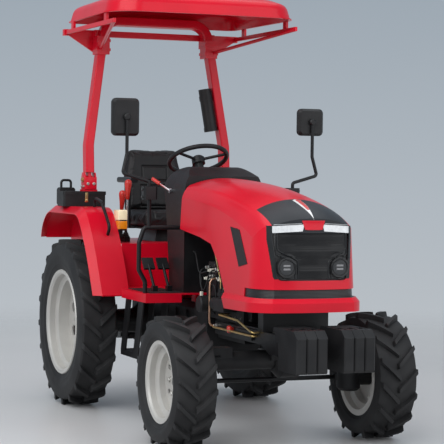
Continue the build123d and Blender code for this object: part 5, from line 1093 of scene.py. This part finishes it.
def grille_lips(skin):
    """Lips that sweep in between the lamps beside the screen, and one along its foot."""
    work = bmesh.new()
    for side in (-1, 1):
        for inset, radius in SIDE_LIPS:
            line = []
            for k in range(SIDE_LIP_STEPS + 1):
                z = mix((SCREEN_Z[0], SCREEN_Z[1] - inset), k / SIDE_LIP_STEPS)
                y = min(screen_half(z + inset) + inset, SCREEN_HALF[1] + SIDE_LIP_REACH)
                line.append(foremost(skin, side * y, z, SCREEN_BRIDGE) + Vector((SIDE_LIP_LIFT, 0, 0)))
            add_tube(work, line, radius)
    foot = SCREEN_Z[0] - FOOT_LIP_DROP
    places = [FOOT_LIP_HALF * (2 * a / FOOT_LIP_STEPS - 1) for a in range(FOOT_LIP_STEPS + 1)]
    add_tube(work, [foremost(skin, y, foot, SCREEN_BRIDGE) for y in places], FOOT_LIP_RADIUS)
    show("grille_lips", work, "bonnet", "lip_black")


def face_rim(skin, side, z):
    """Innermost point of the bonnet's front skin beside the face, found from outside in."""
    rim = foremost(skin, side * BEZEL_SEARCH[0], z, BEZEL_BRIDGE)
    y = BEZEL_SEARCH[0]
    while y > BEZEL_SEARCH[1]:
        y -= BEZEL_STEP
        spot = meets(skin, (FAR_AHEAD, side * y, z), (-1, 0, 0))
        if spot is None or spot.x < rim.x - BEZEL_DROP:
            break
        rim = spot
    return rim


def face_bezel(skin):
    """Black surround beside the face, on the bonnet's rounded front corners."""
    work = bmesh.new()
    for side in (-1, 1):
        top, base = [], []
        for r in range(BEZEL_ROWS + 1):
            z = mix(BEZEL_Z, r / BEZEL_ROWS)
            rim = face_rim(skin, side, z)
            steps = [side * BEZEL_WIDTH * a / BEZEL_COLUMNS for a in range(1, BEZEL_COLUMNS + 1)]
            row = [rim - Vector((0, side * BEZEL_OVERHANG, 0)), rim]
            row += [foremost(skin, rim.y + step, z, BEZEL_BRIDGE) for step in steps]
            lifts = [Vector((lift, BEZEL_LEAN * side * lift, 0)) for lift in BEZEL_LIFTS]
            top.append([spot + lift for spot, lift in zip(row, lifts)])
            base.append([spot - Vector((BEZEL_SINK, 0, 0)) for spot in row])
        add_slab(work, top, base)
    show("face_bezel", work, "bonnet", "lip_black")


def vent_trims(skin):
    """Black vent plates on the bonnet's sides."""
    work = bmesh.new()
    rear_top, front_top, front_foot, rear_foot = VENT_TRIM
    for side in (-1, 1):
        top, base = [], []
        for r in range(VENT_ROWS + 1):
            ends = []
            for upper, lower in ((rear_top, rear_foot), (front_top, front_foot)):
                x, z = (mix(pair, r / VENT_ROWS) for pair in zip(upper, lower))
                ends.append(meets(skin, at(x, VENT_START * side, z), (0, -side, 0)))
            row = [ends[0].lerp(ends[1], a / VENT_COLUMNS) for a in range(VENT_COLUMNS + 1)]
            rim = r in (0, VENT_ROWS)
            columns = range(VENT_COLUMNS + 1)
            lifts = [VENT_RIM if rim or a in (0, VENT_COLUMNS) else VENT_FIELD for a in columns]
            top.append([spot + Vector((0, side * lift, 0)) for spot, lift in zip(row, lifts)])
            base.append([spot - Vector((0, side * VENT_SINK, 0)) for spot in row])
        add_slab(work, top, base)
    show("vent_trims", work, "bonnet", "black_plastic")


def rops_shoes():
    """Red shoes round the roll bar's pivots, with bolts and plated pins."""
    work, pins = bmesh.new(), bmesh.new()
    spots = []
    pivot = joints["rops_fold"]
    reach = SHOE_GAP + SHOE_CHEEK
    front = pivot.x + SHOE_FRONT
    for side in (-1, 1):
        boxes = [box for box in islands("rops_brackets") if side * (box[0].y + box[1].y) > 0]
        low = Vector([min(box[0][axis] for box in boxes) for axis in range(3)])
        high = Vector([max(box[1][axis] for box in boxes) for axis in range(3)])
        middle, foot = (low.y + high.y) / 2, low.z + SHOE_FOOT
        cheek = [
            (SHOE_REAR, foot), (SHOE_FRONT, foot), (SHOE_FRONT, SHOE_FRONT_TOP), (SHOE_NECK, SHOE_TOP),
            (-SHOE_NECK, SHOE_TOP), (SHOE_REAR, SHOE_FRONT_TOP),
        ]
        for flank in (-1, 1):
            y = middle + (SHOE_GAP if flank > 0 else -reach)
            add_prism(work, [(pivot.x + x, y, z) for x, z in cheek], (0, SHOE_CHEEK, 0), SHOE_ROUNDING)
            face = middle + flank * reach
            add_lathe(pins, PIN_BUTTON, 24, facing((pivot.x, face, pivot.z), (0, flank, 0)))
            shift, rise, size = CHEEK_BOLTS
            for x in (pivot.x - shift, pivot.x + shift):
                spots.append((Vector((x, face, foot + rise)), (0, flank, 0), size))
        left, right = middle - reach, middle + reach
        plate = [(left, foot), (right, foot), (right, SHOE_FRONT_TOP), (left, SHOE_FRONT_TOP)]
        add_prism(work, [(front, y, z) for y, z in plate], (SHOE_PLATE, 0, 0), SHOE_ROUNDING)
        shift, rise, size = PLATE_BOLTS
        for y in (middle - shift, middle + shift):
            spots.append((Vector((front + SHOE_PLATE, y, foot + rise)), (1, 0, 0), size))
    show("rops_shoes", work, "chassis", "red_paint")
    show("rops_pins", pins, "chassis", "plated_steel")
    bolts("rops_bolts", spots, "chassis")


def box_latches():
    """Plated straps that hold the lids of the boxes at the roll bar's feet."""
    skin = skin_of("rops_legs")
    work = bmesh.new()
    start, across = LATCH_START
    foot, top = LATCH_Z
    foot_half, top_half = LATCH_HALF
    for side in (-1, 1):
        lid, body = (meets(skin, at(start, side * across, z), (-1, 0, 0)) for z in (LATCH_LID, LATCH_BODY))
        outline = [
            (body.x, lid.y - foot_half, foot), (body.x, lid.y + foot_half, foot),
            (lid.x, lid.y + top_half, top), (lid.x, lid.y - top_half, top),
        ]
        add_prism(work, outline, (LATCH_DEPTH, 0, 0), LATCH_ROUNDING)
        add_lathe(work, HOOK, 16, facing((body.x + LATCH_DEPTH, lid.y, HOOK_Z), (1, 0, 0)))
    show("box_latches", work, "chassis", "plated_steel")


def cover_bolts():
    """Bolts on the castings' covers, set where a ray from outside meets a face that looks that way."""
    plans = []
    for k in range(AXLE_BOLTS):
        turn = tau * k / AXLE_BOLTS
        place = (AXLE_BOLT_START, AXLE_BOLT_RING * cos(turn), AXLE_BOLT_Z + AXLE_BOLT_RING * sin(turn))
        plans.append(("rear_axle_housing", place, (1, 0, 0)))
    for node, places, heights, start in BOLT_ROWS:
        spread = [(x, side, z) for x in places for z in heights for side in (-1, 1)]
        plans += [(node, (x, side * start, z), (0, -side, 0)) for x, side, z in spread]
    skins = {node: skin_of(node) for node in {plan[0] for plan in plans}}
    spots = []
    for node, start, direction in plans:
        towards = Vector(direction)
        spot, normal, face, gap = skins[node].ray_cast(at(*start), towards)
        if spot and abs(normal.dot(towards)) > COVER_BOLT_FACING:
            spots.append((spot, -towards, COVER_BOLT_SIZE))
    bolts("cover_bolts", spots, "chassis", "bolt_dark")


def cord(name, route, diameter):
    """Hose or wire on one smooth spline."""
    curve = bpy.data.curves.new(name, "CURVE")
    curve.dimensions = "3D"
    curve.bevel_depth = diameter / 2
    curve.bevel_resolution = 4
    curve.resolution_u = 10
    curve.use_fill_caps = True
    curve.materials.append(MATERIALS["hose_rubber"])
    spline = curve.splines.new("NURBS")
    spline.points.add(len(route) - 1)
    for point, place in zip(spline.points, route):
        point.co = (*at(*place), 1.0)
    spline.order_u = 3
    spline.use_endpoint_u = True
    made = placed(name, curve)
    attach(made, "chassis")


def engine_lines():
    """Hoses, wires, plugs and fittings in the engine bay."""
    for name, route, length, diameter, stiffness in CORDS:
        cord(name, route, diameter)
    plug, sockets, fittings, cap, copper = (bmesh.new() for k in range(5))
    add_boxes(plug, at(*PLUG_ROUTE[-1]), PLUG_BOXES)
    hanging = show("wire_plug", plug, "chassis", "plug_cream")
    cord("sender_wire", PLUG_ROUTE, SENDER_DIAMETER)
    for place in PLUG_PLACES:
        add_boxes(sockets, at(*place), SOCKET_BOXES)
    show("wire_sockets", sockets, "chassis", "plug_cream")
    for place, direction in FITTINGS:
        add_lathe(fittings, COLLAR, 6, facing(at(*place), direction))
    show("hose_fittings", fittings, "chassis", "bolt_zinc")
    add_lathe(cap, CAP, 12, facing(at(*CAP_PLACE), (0, -1, 0)))
    show("filler_cap", cap, "chassis", "knob_red")
    add_tube(copper, [at(*place) for place in COPPER_ROUTE], COPPER_RADIUS, 14)
    show("oil_pipe", copper, "chassis", "copper")


def camera():
    """Camera of the photograph."""
    yaw, pitch, roll = radians(CAMERA_YAW), radians(CAMERA_PITCH), radians(CAMERA_ROLL)
    look = Vector((-cos(yaw) * cos(pitch), sin(yaw) * cos(pitch), -sin(pitch)))
    right = look.cross(Vector((0, 0, 1))).normalized()
    up = right.cross(look)
    right, up = right * cos(roll) + up * sin(roll), up * cos(roll) - right * sin(roll)
    data = bpy.data.cameras.new("camera")
    data.lens = CAMERA_LENS
    data.sensor_width = SENSOR
    data.clip_end = 200
    made = placed("camera", data)
    turn = Matrix((right, up, -look)).transposed()
    made.matrix_world = Matrix.Translation(CAMERA_PLACE) @ turn.to_4x4()
    bpy.context.scene.camera = made


def floor():
    """Pale, faintly polished floor that fades out with distance."""
    half = FLOOR_SIZE / 2
    mesh = bpy.data.meshes.new("floor")
    corners = [(-half, -half, 0), (half, -half, 0), (half, half, 0), (-half, half, 0)]
    mesh.from_pydata(corners, [], [(0, 1, 2, 3)])
    made = placed("floor", mesh)
    paint, tree, shader = new_material("floor")
    mottled(tree, shader, FLOOR_LIGHT, FLOOR_DARK, 0.5, 0.2, 0.8)
    rough_range(tree, shader, 1.2, *FLOOR_ROUGH)
    reach = tree.nodes.new("ShaderNodeVectorMath")
    reach.operation = "LENGTH"
    tree.links.new(coords(tree), reach.inputs[0])
    near, far = FLOOR_FADE
    fade = fed(tree, "MapRange", Value=reach.outputs["Value"], From_Min=near, From_Max=far)
    feed(tree, fade, To_Min=1.0, To_Max=0.0)
    fade.interpolation_type = "SMOOTHSTEP"
    feed(tree, shader, Specular_IOR_Level=0.35, Alpha=fade.outputs["Result"])
    mesh.materials.append(paint)


def world():
    """Soft even light, with a blue-grey gradient where the camera, gloss and glass see it."""
    made = bpy.data.worlds.new("world")
    made.use_nodes = True
    tree = made.node_tree
    split = fed(tree, "SeparateXYZ", Vector=coords(tree, "Generated"))
    height = fed(tree, "MapRange", Value=split.outputs["Z"])
    feed(tree, height, From_Min=-BACKDROP_REACH, From_Max=BACKDROP_REACH)
    ramp = fed(tree, "ValToRGB", Fac=height.outputs["Result"])
    ramp.color_ramp.elements.new(BACKDROP[1][0])
    for element, (position, colour) in zip(ramp.color_ramp.elements, BACKDROP):
        element.position = position
        element.color = colour
    path = tree.nodes.new("ShaderNodeLightPath")
    shine = tree.nodes.new("ShaderNodeMath")
    seen = tree.nodes.new("ShaderNodeMath")
    shine.operation = seen.operation = "MAXIMUM"
    tree.links.new(path.outputs["Is Glossy Ray"], shine.inputs[0])
    tree.links.new(path.outputs["Is Transmission Ray"], shine.inputs[1])
    tree.links.new(path.outputs["Is Camera Ray"], seen.inputs[0])
    tree.links.new(shine.outputs["Value"], seen.inputs[1])
    pick = tree.nodes.new("ShaderNodeMix")
    pick.data_type = "RGBA"
    ambient, shown = [socket for socket in pick.inputs if socket.type == "RGBA"]
    ambient.default_value = AMBIENT
    tree.links.new(ramp.outputs["Color"], shown)
    tree.links.new(seen.outputs["Value"], pick.inputs["Factor"])
    picked = next(socket for socket in pick.outputs if socket.type == "RGBA")
    feed(tree, tree.nodes["Background"], Color=picked)
    bpy.context.scene.world = made


def area_light(name, place, target, size, power):
    """Soft box aimed at a point."""
    data = bpy.data.lights.new(name, "AREA")
    data.shape = "RECTANGLE"
    data.size, data.size_y = size
    data.energy = power
    made = placed(name, data)
    made.location = place
    made.rotation_euler = (Vector(target) - Vector(place)).to_track_quat("-Z", "Y").to_euler()


MATERIALS = {name: plain(name, *look) for name, look in LOOKS.items()}
MATERIALS.update((name, lens(name, *look)) for name, look in LENSES.items())
MATERIALS["grille_mesh"] = louvred("grille_mesh", (0.020, 0.020, 0.022), (0.012, 0.012, 0.013), 0.007)
MATERIALS["mirror_glass"] = mirror_glass()

camera()
dress_nodes()
for end in WHEELS:
    for side in ("left", "right"):
        tyre(end, side)
        wheel_nuts(end, side)
seat()
headlamps()
markers()
levers()
mirrors()
nose_spear()
nose_skin = skin_of("nose_panel", "bonnet_shell", "headlamps", "grille")
nose_plaque(nose_skin)
nose_lip_highlight(nose_skin)
grille_skin = skin_of("grille")
grille_screen(grille_skin)
grille_lips(grille_skin)
bonnet_skin = skin_of("bonnet_shell")
face_bezel(bonnet_skin)
vent_trims(bonnet_skin)
rops_shoes()
box_latches()
cover_bolts()
engine_lines()
floor()
world()
for name, (place, target, size, power) in LIGHTS.items():
    area_light(name, place, target, size, power)
bpy.context.scene.view_settings.view_transform = "Standard"
